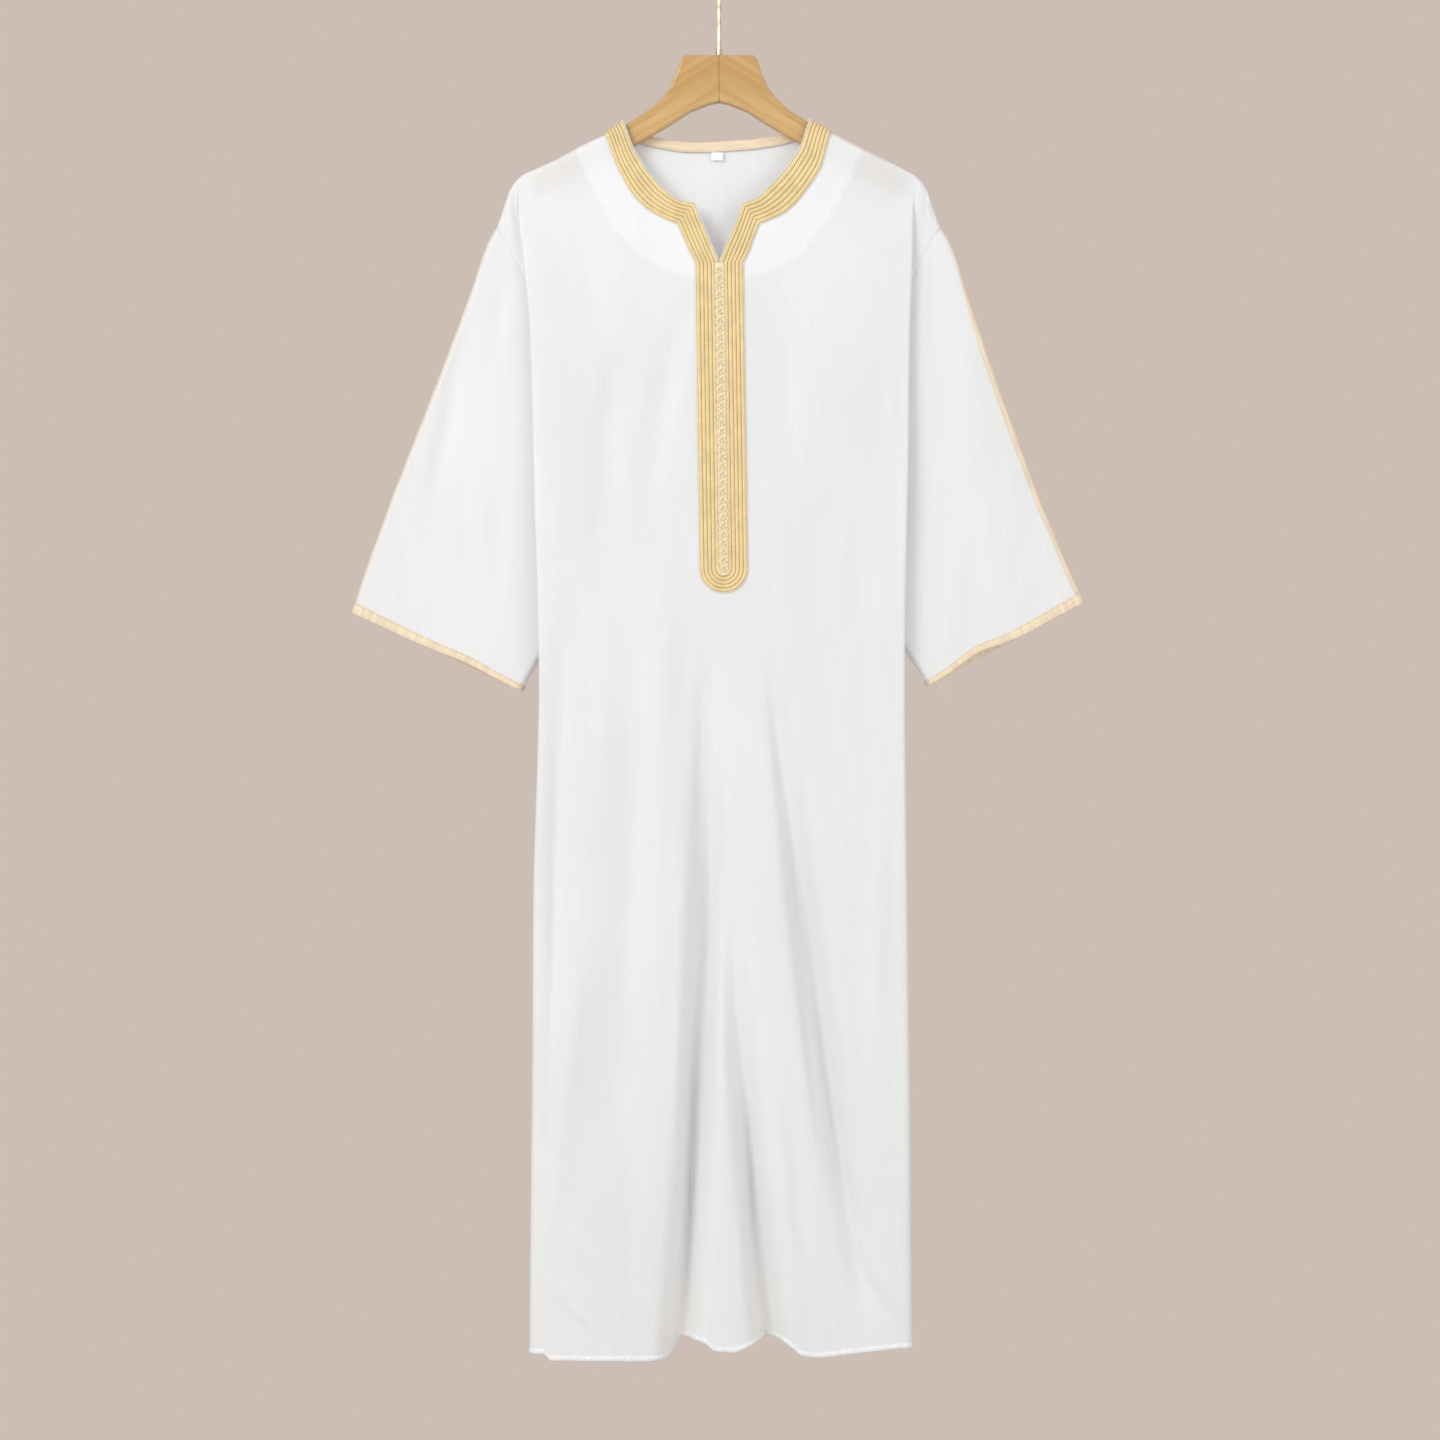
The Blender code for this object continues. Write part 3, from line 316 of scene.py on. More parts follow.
class SmoothTable:
    """A table read smoothly, with no overshoot between its rows."""

    def __init__(self, places, values):
        self.places, self.values = list(places), list(values)
        steps = [b - a for a, b in zip(self.places, self.places[1:])]
        slopes = [(b - a) / step for a, b, step in zip(values, values[1:], steps)]
        self.tangents = [slopes[0]]
        for before, after in zip(slopes, slopes[1:]):
            same_way = before * after > 0
            self.tangents.append(2 * before * after / (before + after) if same_way else 0.0)
        self.tangents.append(slopes[-1])

    def at(self, place):
        if place <= self.places[0]:
            return self.values[0]
        if place >= self.places[-1]:
            return self.values[-1]
        i = bisect.bisect_right(self.places, place) - 1
        width = self.places[i + 1] - self.places[i]
        t = (place - self.places[i]) / width
        start = (self.values[i] * (1 + 2 * t) + self.tangents[i] * width * t) * (1 - t) ** 2
        return start + t * t * (self.values[i + 1] * (3 - 2 * t)
                                - self.tangents[i + 1] * width * (1 - t))


def straight_read(places, values, at):
    """Reads a table along straight lines between its rows."""
    if at <= places[0]:
        return values[0]
    if at >= places[-1]:
        return values[-1]
    k = bisect.bisect_right(places, at) - 1
    t = (at - places[k]) / (places[k + 1] - places[k])
    return values[k] + (values[k + 1] - values[k]) * t


def smooth_of(rows, name):
    return SmoothTable([row.drop for row in rows], [getattr(row, name) for row in rows])


BODY_READ = {name: smooth_of(BODY, name) for name in BODY[0]._fields[1:]}
RIDGE_READ = {LEFT: smooth_of(RIDGE, "left"), RIGHT: smooth_of(RIDGE, "right")}


def body_value(name, drop):
    return BODY_READ[name].at(drop)


def side_name(side):
    return "left" if side == LEFT else "right"


def ridge_x(side, drop):
    """How far out the top line of a sleeve lies at a drop."""
    return RIDGE_READ[side].at(drop)


def under_x(side, drop):
    """How far out the underarm line of a sleeve lies at a drop."""
    cuff = CUFFS[side]
    t = (drop - ARMPIT_DROP) / (cuff.under_drop - ARMPIT_DROP)
    return ARMPIT_X + (cuff.under_x - ARMPIT_X) * t


def seam_x(side, drop):
    """How far out the armhole seam lies at a drop."""
    top = ridge_x(side, SEAM_TOP_DROP)
    t = max(drop - SEAM_TOP_DROP, 0.0) / (ARMPIT_DROP - SEAM_TOP_DROP)
    return top + (ARMPIT_X - top) * t ** SEAM_CURVE


def rounded(distance, radius):
    """Height of a rounded edge, from 0 on the edge to 1 where the wall runs flat."""
    t = min(max(distance / radius, 0.0), 1.0)
    return math.sqrt(1.0 - (1.0 - t) ** 2)


FOLD_REACH = 3
CREASE_REACH = 3.2
CREASE_SWELL = 0.8
LIP_PLACE = 1.9
LIP_SHARE = 0.35
BROAD_ACROSS = 48.0
BROAD_DOWN = 190.0
BROAD_HEIGHT = 1.3
NARROW_ACROSS = 15.0
NARROW_DOWN = 80.0
NARROW_HEIGHT = 0.28


def fold_relief(folds, x, drop):
    """Adds up the folds at a place, ridges outwards and valleys inwards."""
    relief = 0.0
    for fold in folds:
        if drop <= fold.start or (fold.fade and drop >= fold.end):
            continue
        t = min((drop - fold.start) / (fold.end - fold.start), 1.0)
        middle = ((1 - t) * (1 - 2 * t) * fold.x_start + 4 * t * (1 - t) * fold.x_middle
                  + t * (2 * t - 1) * fold.x_end)
        if abs(x - middle) > FOLD_REACH * fold.width:
            continue
        strength = smooth_step((drop - fold.start) / (fold.full - fold.start))
        if fold.fade:
            strength *= smooth_step((fold.end - drop) / (fold.end - fold.full))
        relief += fold.depth * strength * math.exp(-((x - middle) / fold.width) ** 2)
    return relief


def crease_relief(creases, x, drop):
    """Adds up the smaller creases, each one deepest at its middle and gone at its ends."""
    relief = 0.0
    for crease in creases:
        along = (drop - crease.drop_top) / (crease.drop_low - crease.drop_top)
        if along <= 0.0 or along >= 1.0:
            continue
        across = x - crease.x_top - (crease.x_low - crease.x_top) * along
        if abs(across) < CREASE_REACH * crease.width:
            swell = math.sin(math.pi * along ** CREASE_SWELL)
            trough = math.exp(-(across / crease.width) ** 2)
            lip = math.exp(-((across - LIP_PLACE * crease.width) / crease.width) ** 2)
            relief += crease.depth * swell * (trough - LIP_SHARE * lip)
    return relief


def slow_waves(x, drop, seed):
    """The slow unevenness of hanging cloth, longer down than across."""
    broad = noise.noise(Vector((x / BROAD_ACROSS, drop / BROAD_DOWN, seed)))
    narrow = noise.noise(Vector((x / NARROW_ACROSS, drop / NARROW_DOWN, seed + 7.0)))
    return BROAD_HEIGHT * broad + NARROW_HEIGHT * narrow


SHOULDER_ROWS = [row for row in FRONT_TOP if row.x <= -104 or row.x >= 99]
SHOULDERS = {side: ([row.x for row in SHOULDER_ROWS if row.x * side > 0],
                    [row.drop for row in SHOULDER_ROWS if row.x * side > 0])
             for side in (LEFT, RIGHT)}


def shoulder_drop(x):
    """Drop of the shoulder line, carried on upwards over the neck."""
    places, drops = SHOULDERS[LEFT if x < 0 else RIGHT]
    if x <= SHOULDERS[LEFT][0][-1] or x >= SHOULDERS[RIGHT][0][0]:
        return straight_read(places, drops, x)
    edge, drop = (places[-1], drops[-1]) if x < 0 else (places[0], drops[0])
    return drop - SHOULDER_SLOPE * abs(x - edge)


def panel_depth(face, x, drop):
    """How far a body panel's outer face stands out from the middle plane."""
    base = body_value(face, drop)
    below = drop - shoulder_drop(x)
    edge = body_value("left" if x < 0 else "right", drop)
    front = face == "front"
    relief = fold_relief(FRONT_FOLDS if front else BACK_FOLDS, x, drop)
    relief += crease_relief(FRONT_CREASES if front else BACK_CREASES, x, drop)
    waves = slow_waves(x, drop, 3.0 if front else 21.0)
    waves *= smooth_step((drop - WAVE_START_DROP) / WAVE_START_RUN)
    near_edge = smooth_step((edge - abs(x)) / FOLD_MARGIN)
    depth = base * rounded(below, SHOULDER_ROUND) + near_edge * (relief + waves)
    open_step = smooth_step((drop - FOLD_START_DROP) / FOLD_START_RUN)
    if open_step < 1.0:
        over_tip = OVER_HANGER * smooth_step((edge - abs(x)) / TIP_MARGIN)
        level = sleeve_depth(LEFT if x < 0 else RIGHT, x, drop) + over_tip
        share = (1.0 - open_step) * smooth_step((abs(x) - edge) / SHOULDER_EASE + 1.0)
        depth += (min(depth, level) - depth) * share
    return depth


def sleeve_depth(side, x, drop):
    """How far a sleeve's outer face stands out, with round edges at its two seams."""
    from_ridge = (ridge_x(side, drop) - abs(x)) * RIDGE_COSINE
    from_under = (abs(x) - under_x(side, drop)) * UNDER_COSINE
    flare = CUFF_FLARE * smooth_step((drop - FLARE_START) / FLARE_RUN)
    edges = rounded(from_ridge, SLEEVE_ROUND) * rounded(from_under, SLEEVE_ROUND)
    return (SLEEVE_HALF + flare) * edges


def arc(centre_x, centre_d, radius, start, finish, steps):
    """Points of an arc in the plane of x and depth, angles in radians from +x towards +depth."""
    return [(centre_x + radius * math.cos(start + (finish - start) * k / steps),
             centre_d + radius * math.sin(start + (finish - start) * k / steps))
            for k in range(steps + 1)]


ARC_STEPS = 7
BEND_STEPS = 4
RETURN_STEPS = 14
CAP_STEPS = 12


def side_section(face, side, drop, hem_rise):
    """One side of a panel at a drop: round the fold, back inwards, round the bend, to the seam."""
    edge = body_value(side_name(side), drop)
    above_seam = drop < SEAM_TOP_DROP
    ridge = ridge_x(side, drop)
    far = ridge if above_seam else min(seam_x(side, drop) + SEAM_LAP, ridge)
    tuck = body_value("tuck", drop) * smooth_step((drop - TUCK_START_DROP) / TUCK_START_RUN)
    inner = edge - tuck
    joined = drop < ARMPIT_DROP and far > inner
    outer_depth = panel_depth(face, side * edge, drop)
    inner_depth = min(sleeve_depth(side, side * inner, drop), outer_depth) if joined else 0.0
    room = outer_depth - inner_depth
    fold_radius = min(body_value("fold", drop), FOLD_SHARE * room)
    bend_radius = min(body_value("bend", drop), BEND_SHARE * room)
    fold_x, fold_d = edge - fold_radius, outer_depth - fold_radius
    bend_x, bend_d = inner + bend_radius, inner_depth + bend_radius
    run, fall = fold_x - bend_x, fold_d - bend_d
    apart = math.hypot(run, fall)
    turn = 0.0
    if apart > 1e-6:
        lean = math.asin(min(1.0, (fold_radius + bend_radius) / apart))
        turn = math.pi - math.atan2(fall, run) + lean
    points = arc(fold_x, fold_d, fold_radius, math.pi / 2, math.pi / 2 - turn, ARC_STEPS)
    bend = arc(bend_x, bend_d, bend_radius, 1.5 * math.pi - turn, 1.5 * math.pi, BEND_STEPS)
    for k in range(1, RETURN_STEPS):
        t = k / RETURN_STEPS
        points.append(tuple(a + (b - a) * t for a, b in zip(points[ARC_STEPS], bend[0])))
    points += bend
    end_x = bend[-1][0]
    for k in range(CAP_STEPS + 1):
        place = (1.0 - k / CAP_STEPS) ** 2
        if joined and far > end_x:
            out = far - (far - end_x) * place
            gather = crease_relief(SHOULDER_GATHERS, side * out, drop) * rounded(far - out, 4.0)
            level = min(sleeve_depth(side, side * out, drop), outer_depth) + gather
            if not above_seam:
                level -= 2 * SEAM_DIP * smooth_step((out - far + SEAM_LAP) / SEAM_SOFT + 1.0)
            points.append((out, max(level, 0.0)))
        else:
            points.append(points[-1])
    span = max(fold_x - inner, 1.0)
    rise = hem_rise * smooth_step((drop - SIDE_HEM_START) / (HEM_EDGE_DROP - SIDE_HEM_START))
    rows = []
    for k, (out, depth) in enumerate(points):
        share = min(max((fold_x - out) / span, 0.0), 1.0) if k > ARC_STEPS else 0.0
        rows.append((out, depth, drop - rise * share))
    return rows


def rounded_line(points, corners, spacing):
    """A line through points, smooth but for its corners, with steps no longer than spacing."""
    line = []
    last = len(points) - 1
    for k in range(last):
        start, stop = points[k], points[k + 1]
        before = start if k == 0 or k in corners else points[k - 1]
        after = stop if k + 1 == last or k + 1 in corners else points[k + 2]
        steps = max(1, math.ceil(math.dist(start, stop) / spacing))
        for j in range(steps):
            t = j / steps
            line.append(tuple(
                0.5 * (2 * b + (c - a) * t + (2 * a - 5 * b + 4 * c - d) * t * t
                       + (3 * b - a - 3 * c + d) * t ** 3)
                for a, b, c, d in zip(before, start, stop, after)))
    return line + [tuple(points[-1])]


def sharp_rows(rows, places):
    """Numbers of the rows whose x is one of the places, where a line keeps a corner."""
    return {k for k, row in enumerate(rows) if any(abs(row.x - x) < 0.05 for x in places)}


FRONT_CORNERS = (-212.5, -104.6, -26.7, 0.4, 25.7, 99.2, 211.0)
BACK_CORNERS = (-212.5, -104.6, 99.2, 211.0)


def top_columns(face):
    """Where the columns of a panel start along its top line."""
    rows, corners = ((FRONT_TOP, FRONT_CORNERS) if face == "front" else (BACK_TOP, BACK_CORNERS))
    points = [(row.x, row.drop) for row in rows]
    return rounded_line(points, sharp_rows(rows, corners), COLUMN_WIDTH)


def edge_drops():
    """Drops of a panel's rows at its folds, close together over the rounded shoulder."""
    top = BODY[0].drop
    drops = [top + offset for offset in ROUND_OFFSETS]
    count = round((HEM_EDGE_DROP - drops[-1]) / ROW_HEIGHT)
    return drops + [drops[-1] + (HEM_EDGE_DROP - drops[-1]) * k / count
                    for k in range(1, count + 1)]


def column_drop(top, hem, edge_drop):
    """Drop of one row of a column whose own top and hem differ from the fold edge's."""
    start = BODY[0].drop + SHOULDER_ROUND
    if edge_drop <= start:
        return top + edge_drop - BODY[0].drop
    share = (edge_drop - start) / (HEM_EDGE_DROP - start)
    return top + SHOULDER_ROUND + (hem - top - SHOULDER_ROUND) * share


def world(x, depth, drop, facing):
    """A point from its place across, its depth and its drop; facing is -1 at the front."""
    return Vector((x, facing * depth, -drop)) * MM


def panel_grid(face):
    """All rows of points of a body panel, from its left side seam to its right one."""
    front = face == "front"
    hem = FRONT_HEM if front else BACK_HEM
    hem_read = SmoothTable([row.x for row in hem], [row.drop for row in hem])
    columns = top_columns(face)
    grid = []
    for edge_drop in edge_drops():
        sides, inset = {}, {}
        for side in (LEFT, RIGHT):
            stretch = (hem_read.at(side * SIDE_X) - SKIRT_DROP) / (HEM_EDGE_DROP - SKIRT_DROP)
            level = min(edge_drop, SKIRT_DROP) + max(edge_drop - SKIRT_DROP, 0.0) * stretch
            section = side_section(face, side, level, SEAM_HEM_RISE if front else 0.0)
            sides[side] = [world(side * out, depth, drop, FACING[face])
                           for out, depth, drop in section]
            inset[side_name(side)] = section[0][0] / body_value(side_name(side), level)
        line = list(reversed(sides[LEFT]))
        for x_top, top in columns[1:-1]:
            edge = "left" if x_top < 0 else "right"
            drop = column_drop(top, hem_read.at(x_top), edge_drop)
            x = x_top * body_value(edge, drop) / body_value(edge, top) * inset[edge]
            line.append(world(x, panel_depth(face, x, drop), drop, FACING[face]))
        grid.append(line + sides[RIGHT])
    return grid


def layers_at(point):
    """1 where the front is double, over its neck facing, and 0 where it is single."""
    x, drop = abs(point.x / MM), -point.z / MM
    low = straight_read([row.x for row in NECK_FACING], [row.drop for row in NECK_FACING], x)
    inside = smooth_step((low - drop) / LINING_EDGE + 0.5)
    return inside * smooth_step((FACING_END_X - x) / LINING_EDGE + 0.5)


def one_layer(point):
    return 0.0


def sheet_mesh(name, grid, closed=False, layers=None):
    """A surface through a grid of points, with its unrolled size in metres as its UV map."""
    count = len(grid[0])
    width = count if closed else count - 1
    points = [point for line in grid for point in line]
    faces = [(r * count + k, (r + 1) * count + k, (r + 1) * count + (k + 1) % count,
              r * count + (k + 1) % count) for r in range(len(grid) - 1) for k in range(width)]
    mesh = bpy.data.meshes.new(name)
    mesh.from_pydata(points, [], faces)
    middle = grid[len(grid) // 2]
    across = [0.0]
    for k in range(width):
        across.append(across[-1] + (middle[(k + 1) % count] - middle[k]).length)
    down = [0.0]
    for upper, lower in zip(grid, grid[1:]):
        down.append(down[-1] + (lower[count // 2] - upper[count // 2]).length)
    unrolled = mesh.uv_layers.new(name="Unrolled")
    places = []
    for r in range(len(grid) - 1):
        for k in range(width):
            places += [across[k], down[r], across[k], down[r + 1],
                       across[k + 1], down[r + 1], across[k + 1], down[r]]
    unrolled.data.foreach_set("uv", places)
    if layers is not None:
        double = mesh.attributes.new("layers", "FLOAT", "POINT")
        double.data.foreach_set("value", [layers(point) for point in points])
    bm = bmesh.new()
    bm.from_mesh(mesh)
    bmesh.ops.remove_doubles(bm, verts=bm.verts, dist=TOO_CLOSE * MM)
    bmesh.ops.dissolve_degenerate(bm, edges=bm.edges, dist=0.004 * MM)
    bm.to_mesh(mesh)
    bm.free()
    mesh.shade_smooth()
    return mesh


def piece_of(name, mesh, material, slot, *nodes):
    """Shows a mesh as a piece of the robe that stands for some of its solids."""
    piece = bpy.data.objects.new(name, mesh)
    bpy.context.scene.collection.objects.link(piece)
    mesh.materials.append(material)
    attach(piece, "root")
    if nodes:
        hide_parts(*nodes)
    return piece


def add_thickness(piece, thickness):
    """Gives a sheet its thickness, inwards from its outer face."""
    wall = piece.modifiers.new("Wall", "SOLIDIFY")
    wall.thickness = thickness * MM
    wall.offset = -1.0
    wall.use_even_offset = False


def hem_ring(edge, above):
    """Points, upward and outward directions along a lower edge, every couple of millimetres."""
    points, ups = [], []
    for k in range(len(edge) - 1):
        length = (edge[k + 1] - edge[k]).length
        if length < TOO_CLOSE * MM:
            continue
        steps = max(1, round(length / (HEM_STEP * MM)))
        for j in range(steps):
            t = j / steps
            points.append(edge[k].lerp(edge[k + 1], t))
            ups.append((above[k] - edge[k]).lerp(above[k + 1] - edge[k + 1], t).normalized())
    frames = []
    for k, (point, up) in enumerate(zip(points, ups)):
        tangent = points[min(k + 1, len(points) - 1)] - points[max(k - 1, 0)]
        frames.append((point, up, tangent.cross(up).normalized()))
    return frames


HEM_PROFILE = ((1.0, 0.2), (0.95, 0.65), (0.5, 0.95), (0.08, 0.8), (-0.06, 0.0),
               (0.08, -0.8), (0.5, -0.95), (0.95, -0.65), (1.0, -0.2))


def rolled_hem(grid, height, seed):
    """A narrow hem rolled round a sheet's lower edge, a little puckered by its stitches."""
    frames = hem_ring(grid[-1], grid[-2])
    rows = []
    for k, (point, up, out) in enumerate(frames):
        pucker = 0.3 * math.sin(k * 1.35 + 1.4 * noise.noise(Vector((k / 6.0, seed, 0.0))))
        rise = 0.35 * noise.noise(Vector((k / 9.0, seed + 3.0, 0.0)))
        rows.append([point + (up * (height * share + rise) + out * (side + pucker * share)) * MM
                     for share, side in HEM_PROFILE])
    return rows, frames


def stitch_mesh(name, places, radius):
    """A row of stitches: each one a short thread between two points, raised in its middle."""
    mesh = bpy.data.meshes.new(name)
    points, faces = [], []
    for start, stop, out in places:
        along = (stop - start).normalized()
        across = along.cross(out).normalized()
        base = len(points)
        middle = (start + stop) / 2 + out * radius * MM
        rings = ((start, 0.25), (middle, 1.0), (stop, 0.25))
        for centre, size in rings:
            for across_share, out_share in ((1, 0), (0, 1), (-1, 0), (0, -1)):
                way = across * across_share + out * out_share
                points.append(centre + way * radius * size * MM)
        for ring in range(2):
            for k in range(4):
                a, b = base + ring * 4 + k, base + ring * 4 + (k + 1) % 4
                faces.append((a, b, b + 4, a + 4))
        faces.append((base + 3, base + 2, base + 1, base))
        faces.append((base + 8, base + 9, base + 10, base + 11))
    mesh.from_pydata(points, [], faces)
    mesh.shade_smooth()
    return mesh


def stitch_places(line, outs, length, gap):
    """Splits a line into stitches, with the outward direction at each one."""
    places, travelled, pitch = [], 0.0, (length + gap) * MM
    wanted, starts = 0.0, []
    for k in range(len(line) - 1):
        step = (line[k + 1] - line[k]).length
        while step > 0 and wanted <= travelled + step:
            t = (wanted - travelled) / step
            starts.append((line[k].lerp(line[k + 1], t), line[k + 1] - line[k], outs[k]))
            wanted += pitch
        travelled += step
    for point, direction, out in starts:
        places.append((point, point + direction.normalized() * length * MM, out))
    return places


def sew(name, line, outs, gap, radius, maker, slot):
    """A row of stitches along a line, as a piece of its own."""
    places = stitch_places(line, outs, settings().stitch_length, gap)
    thread = finish_named(maker.__name__, maker)
    return piece_of(name, stitch_mesh(name, places, radius), thread, slot)


def ridge_point(side, t):
    """A point of a sleeve's top line, from the armhole at 0 to the cuff at 1."""
    drop = SEAM_TOP_DROP + (CUFFS[side].ridge_drop - SEAM_TOP_DROP) * t
    return ridge_x(side, drop), drop


def under_point(side, t):
    drop = ARMPIT_DROP + (CUFFS[side].under_drop - ARMPIT_DROP) * t
    return under_x(side, drop), drop


def sleeve_face(side, face, t, share):
    """A point on a sleeve's outer face, share 0 on its top line and 1 under the arm."""
    top_x, top_drop = ridge_point(side, t)
    low_x, low_drop = under_point(side, t)
    x = top_x + (low_x - top_x) * share
    drop = top_drop + (low_drop - top_drop) * share
    bow = (ridge_x(side, SEAM_TOP_DROP) - ARMPIT_X) * (share ** SEAM_CURVE - share)
    x -= bow * (1.0 - smooth_step(t / SEAM_CURVE_REACH))
    facing = FACING[face]
    depth = sleeve_depth(side, x, drop)
    window = rounded(min(share, 1 - share), SLEEVE_FOLD_MARGIN)
    seam = smooth_step(t / SLEEVE_CREASE_START)
    if face == "front":
        depth += window * fold_relief(SLEEVE_FOLDS, side * x, drop)
        arch = math.exp(-((share - CUFF_ARCH_PLACE) / CUFF_ARCH_WIDTH) ** 2) * t ** 4
        drop -= CUFF_ARCH * arch * (1.0 if side == RIGHT else CUFF_ARCH_LEFT)
    depth -= window * SEAM_DIP * (1.0 - smooth_step(t / SLEEVE_SEAM_END))
    depth += seam * window * crease_relief(SLEEVE_CREASES, -side * facing * x, drop)
    depth += seam * window * SLEEVE_WAVES * slow_waves(side * x, drop, 40.0 + facing + 5 * side)
    return world(side * x, depth, drop, facing)


SHARE_STEP = 0.002
DROP_STEP = 0.4


def over_sleeve(side, face, t, share, lift):
    """A point lifted square to a sleeve's outer face."""
    step = SHARE_STEP
    low, high = max(share - step, 0.0), min(share + step, 1.0)
    across = sleeve_face(side, face, t, high) - sleeve_face(side, face, t, low)
    along = sleeve_face(side, face, t + step, share) - sleeve_face(side, face, t - step, share)
    normal = across.cross(along).normalized()
    if normal.y * FACING[face] < 0:
        normal = -normal
    return sleeve_face(side, face, t, share) + normal * lift * MM


def spread_shares(count):
    """Shares across a sleeve, close together at its two rounded seams."""
    return [0.5 - 0.5 * math.cos(math.pi * k / count) for k in range(count + 1)]


def placket_middle(drop):
    """The middle line of the placket, which leans a little."""
    return straight_read(PLACKET_LEAN_DROPS, PLACKET_LEAN_X, drop)


def on_front(x, drop, lift):
    """A point over the front's outer face, lifted square to it."""
    near = [panel_depth("front", x + DROP_STEP * right, drop + DROP_STEP * low)
            for right, low in ((1, 0), (-1, 0), (0, 1), (0, -1))]
    across, down = (near[0] - near[1]) / (2 * DROP_STEP), (near[2] - near[3]) / (2 * DROP_STEP)
    normal = Vector((-across, FACING["front"], down)).normalized()
    return world(x, panel_depth("front", x, drop), drop, FACING["front"]) + normal * lift * MM


def placket_edges(side, drop):
    middle = placket_middle(drop)
    return (middle + side * BRAID_SPLIT, drop, middle + side * (BRAID_SPLIT + BRAID_WIDTH), drop)


BRAID_CORNER_ROW = 9
BRAID_STEP = 1.1
CORD_STEPS = 6
CORD_SINK = 0.25
PLY_PITCH = 2.7


def braid_stations():
    """Both edges of the braid: down the left, round the end of the placket and up the right."""
    run = PLACKET_END_DROP - PLACKET_START_DROP
    steps = round(run / (BRAID_STEP * 0.7))
    drops = [PLACKET_START_DROP + run * k / steps for k in range(steps + 1)]
    arms = {}
    for side, rows in ((LEFT, BRAID_LEFT), (RIGHT, BRAID_RIGHT)):
        points = [tuple(row) for row in rows] + [placket_edges(side, PLACKET_START_DROP)]
        arms[side] = rounded_line(points, {BRAID_CORNER_ROW}, BRAID_STEP)[:-1]
    stations = arms[LEFT] + [placket_edges(LEFT, drop) for drop in drops]
    middle = placket_middle(PLACKET_END_DROP)
    reach = BRAID_SPLIT + BRAID_WIDTH
    turn_steps = round(math.pi * reach / BRAID_STEP)
    for k in range(1, turn_steps):
        angle = math.pi * k / turn_steps
        across, down = -math.cos(angle), math.sin(angle)
        stations.append((middle + BRAID_SPLIT * across, PLACKET_END_DROP + BRAID_SPLIT * down,
                         middle + reach * across, PLACKET_END_DROP + reach * down))
    stations += [placket_edges(RIGHT, drop) for drop in reversed(drops)]
    return stations + list(reversed(arms[RIGHT]))


def braid_frames(stations):
    """For each station, the point and outward direction at every cord edge and cord middle."""
    frames = []
    for inner_x, inner_drop, outer_x, outer_drop in stations:
        line = []
        for k in range(2 * BRAID_CORDS + 1):
            share = k / (2 * BRAID_CORDS)
            x = inner_x + (outer_x - inner_x) * share
            drop = inner_drop + (outer_drop - inner_drop) * share
            near_shoulder = 1.0 - smooth_step((drop - SHOULDER_LIFT_DROP) / SHOULDER_LIFT_RUN)
            foot = on_front(x, drop, BRAID_LIFT + SHOULDER_LIFT * near_shoulder)
            out = on_front(x, drop, BRAID_LIFT + 1.0) - on_front(x, drop, BRAID_LIFT)
            line.append((foot, out.normalized()))
        frames.append(line)
    return frames


def between_frames(line, share):
    """Point and outward direction at a share of the braid's width, from its inner edge."""
    place = min(max(share, 0.0), 1.0) * (len(line) - 1)
    k = min(int(place), len(line) - 2)
    point = line[k][0].lerp(line[k + 1][0], place - k)
    if share < 0.0 or share > 1.0:
        edge, inner = (line[0][0], line[1][0]) if share < 0.0 else (line[-1][0], line[-2][0])
        beyond = -share if share < 0.0 else share - 1.0
        point = edge + (edge - inner) * beyond * (len(line) - 1)
    return point, line[k][1].lerp(line[k + 1][1], place - k).normalized()


def cord_rows(frames, cord, height):
    """One twisted cord of the braid, as rows of points and its length at each row."""
    rows, lengths, last = [], [], None
    for line in frames:
        middle, out = line[2 * cord + 1]
        if last is not None:
            lengths.append(lengths[-1] + (middle - last).length / MM)
        else:
            lengths.append(0.0)
        last = middle
        ring = []
        for k in range(CORD_STEPS + 1):
            angle = math.pi * k / CORD_STEPS
            painted_ply_shade = 1.0 + 0.09 * math.cos(2 * angle + 2 * math.pi * lengths[-1] / PLY_PITCH)
            share = (cord + 0.5 - 0.5 * math.cos(angle) * (0.9 + 0.1 * painted_ply_shade)) / BRAID_CORDS
            point, out = between_frames(line, share)
            rise = BRAID_BASE - CORD_SINK + height * math.sin(angle) * painted_ply_shade
            ring.append(point + out * rise * MM)
        rows.append(ring)
    return rows, lengths


def tube_rows(points, outs, radius, sides=6):
    """Rings of a round thread along a line of points."""
    rows = []
    for k, (point, out) in enumerate(zip(points, outs)):
        along = (points[min(k + 1, len(points) - 1)] - points[max(k - 1, 0)]).normalized()
        across = along.cross(out).normalized()
        lift = across.cross(along)
        rows.append([point + (across * math.cos(2 * math.pi * j / sides)
                              + lift * math.sin(2 * math.pi * j / sides)) * radius * MM
                     for j in range(sides)])
    return rows


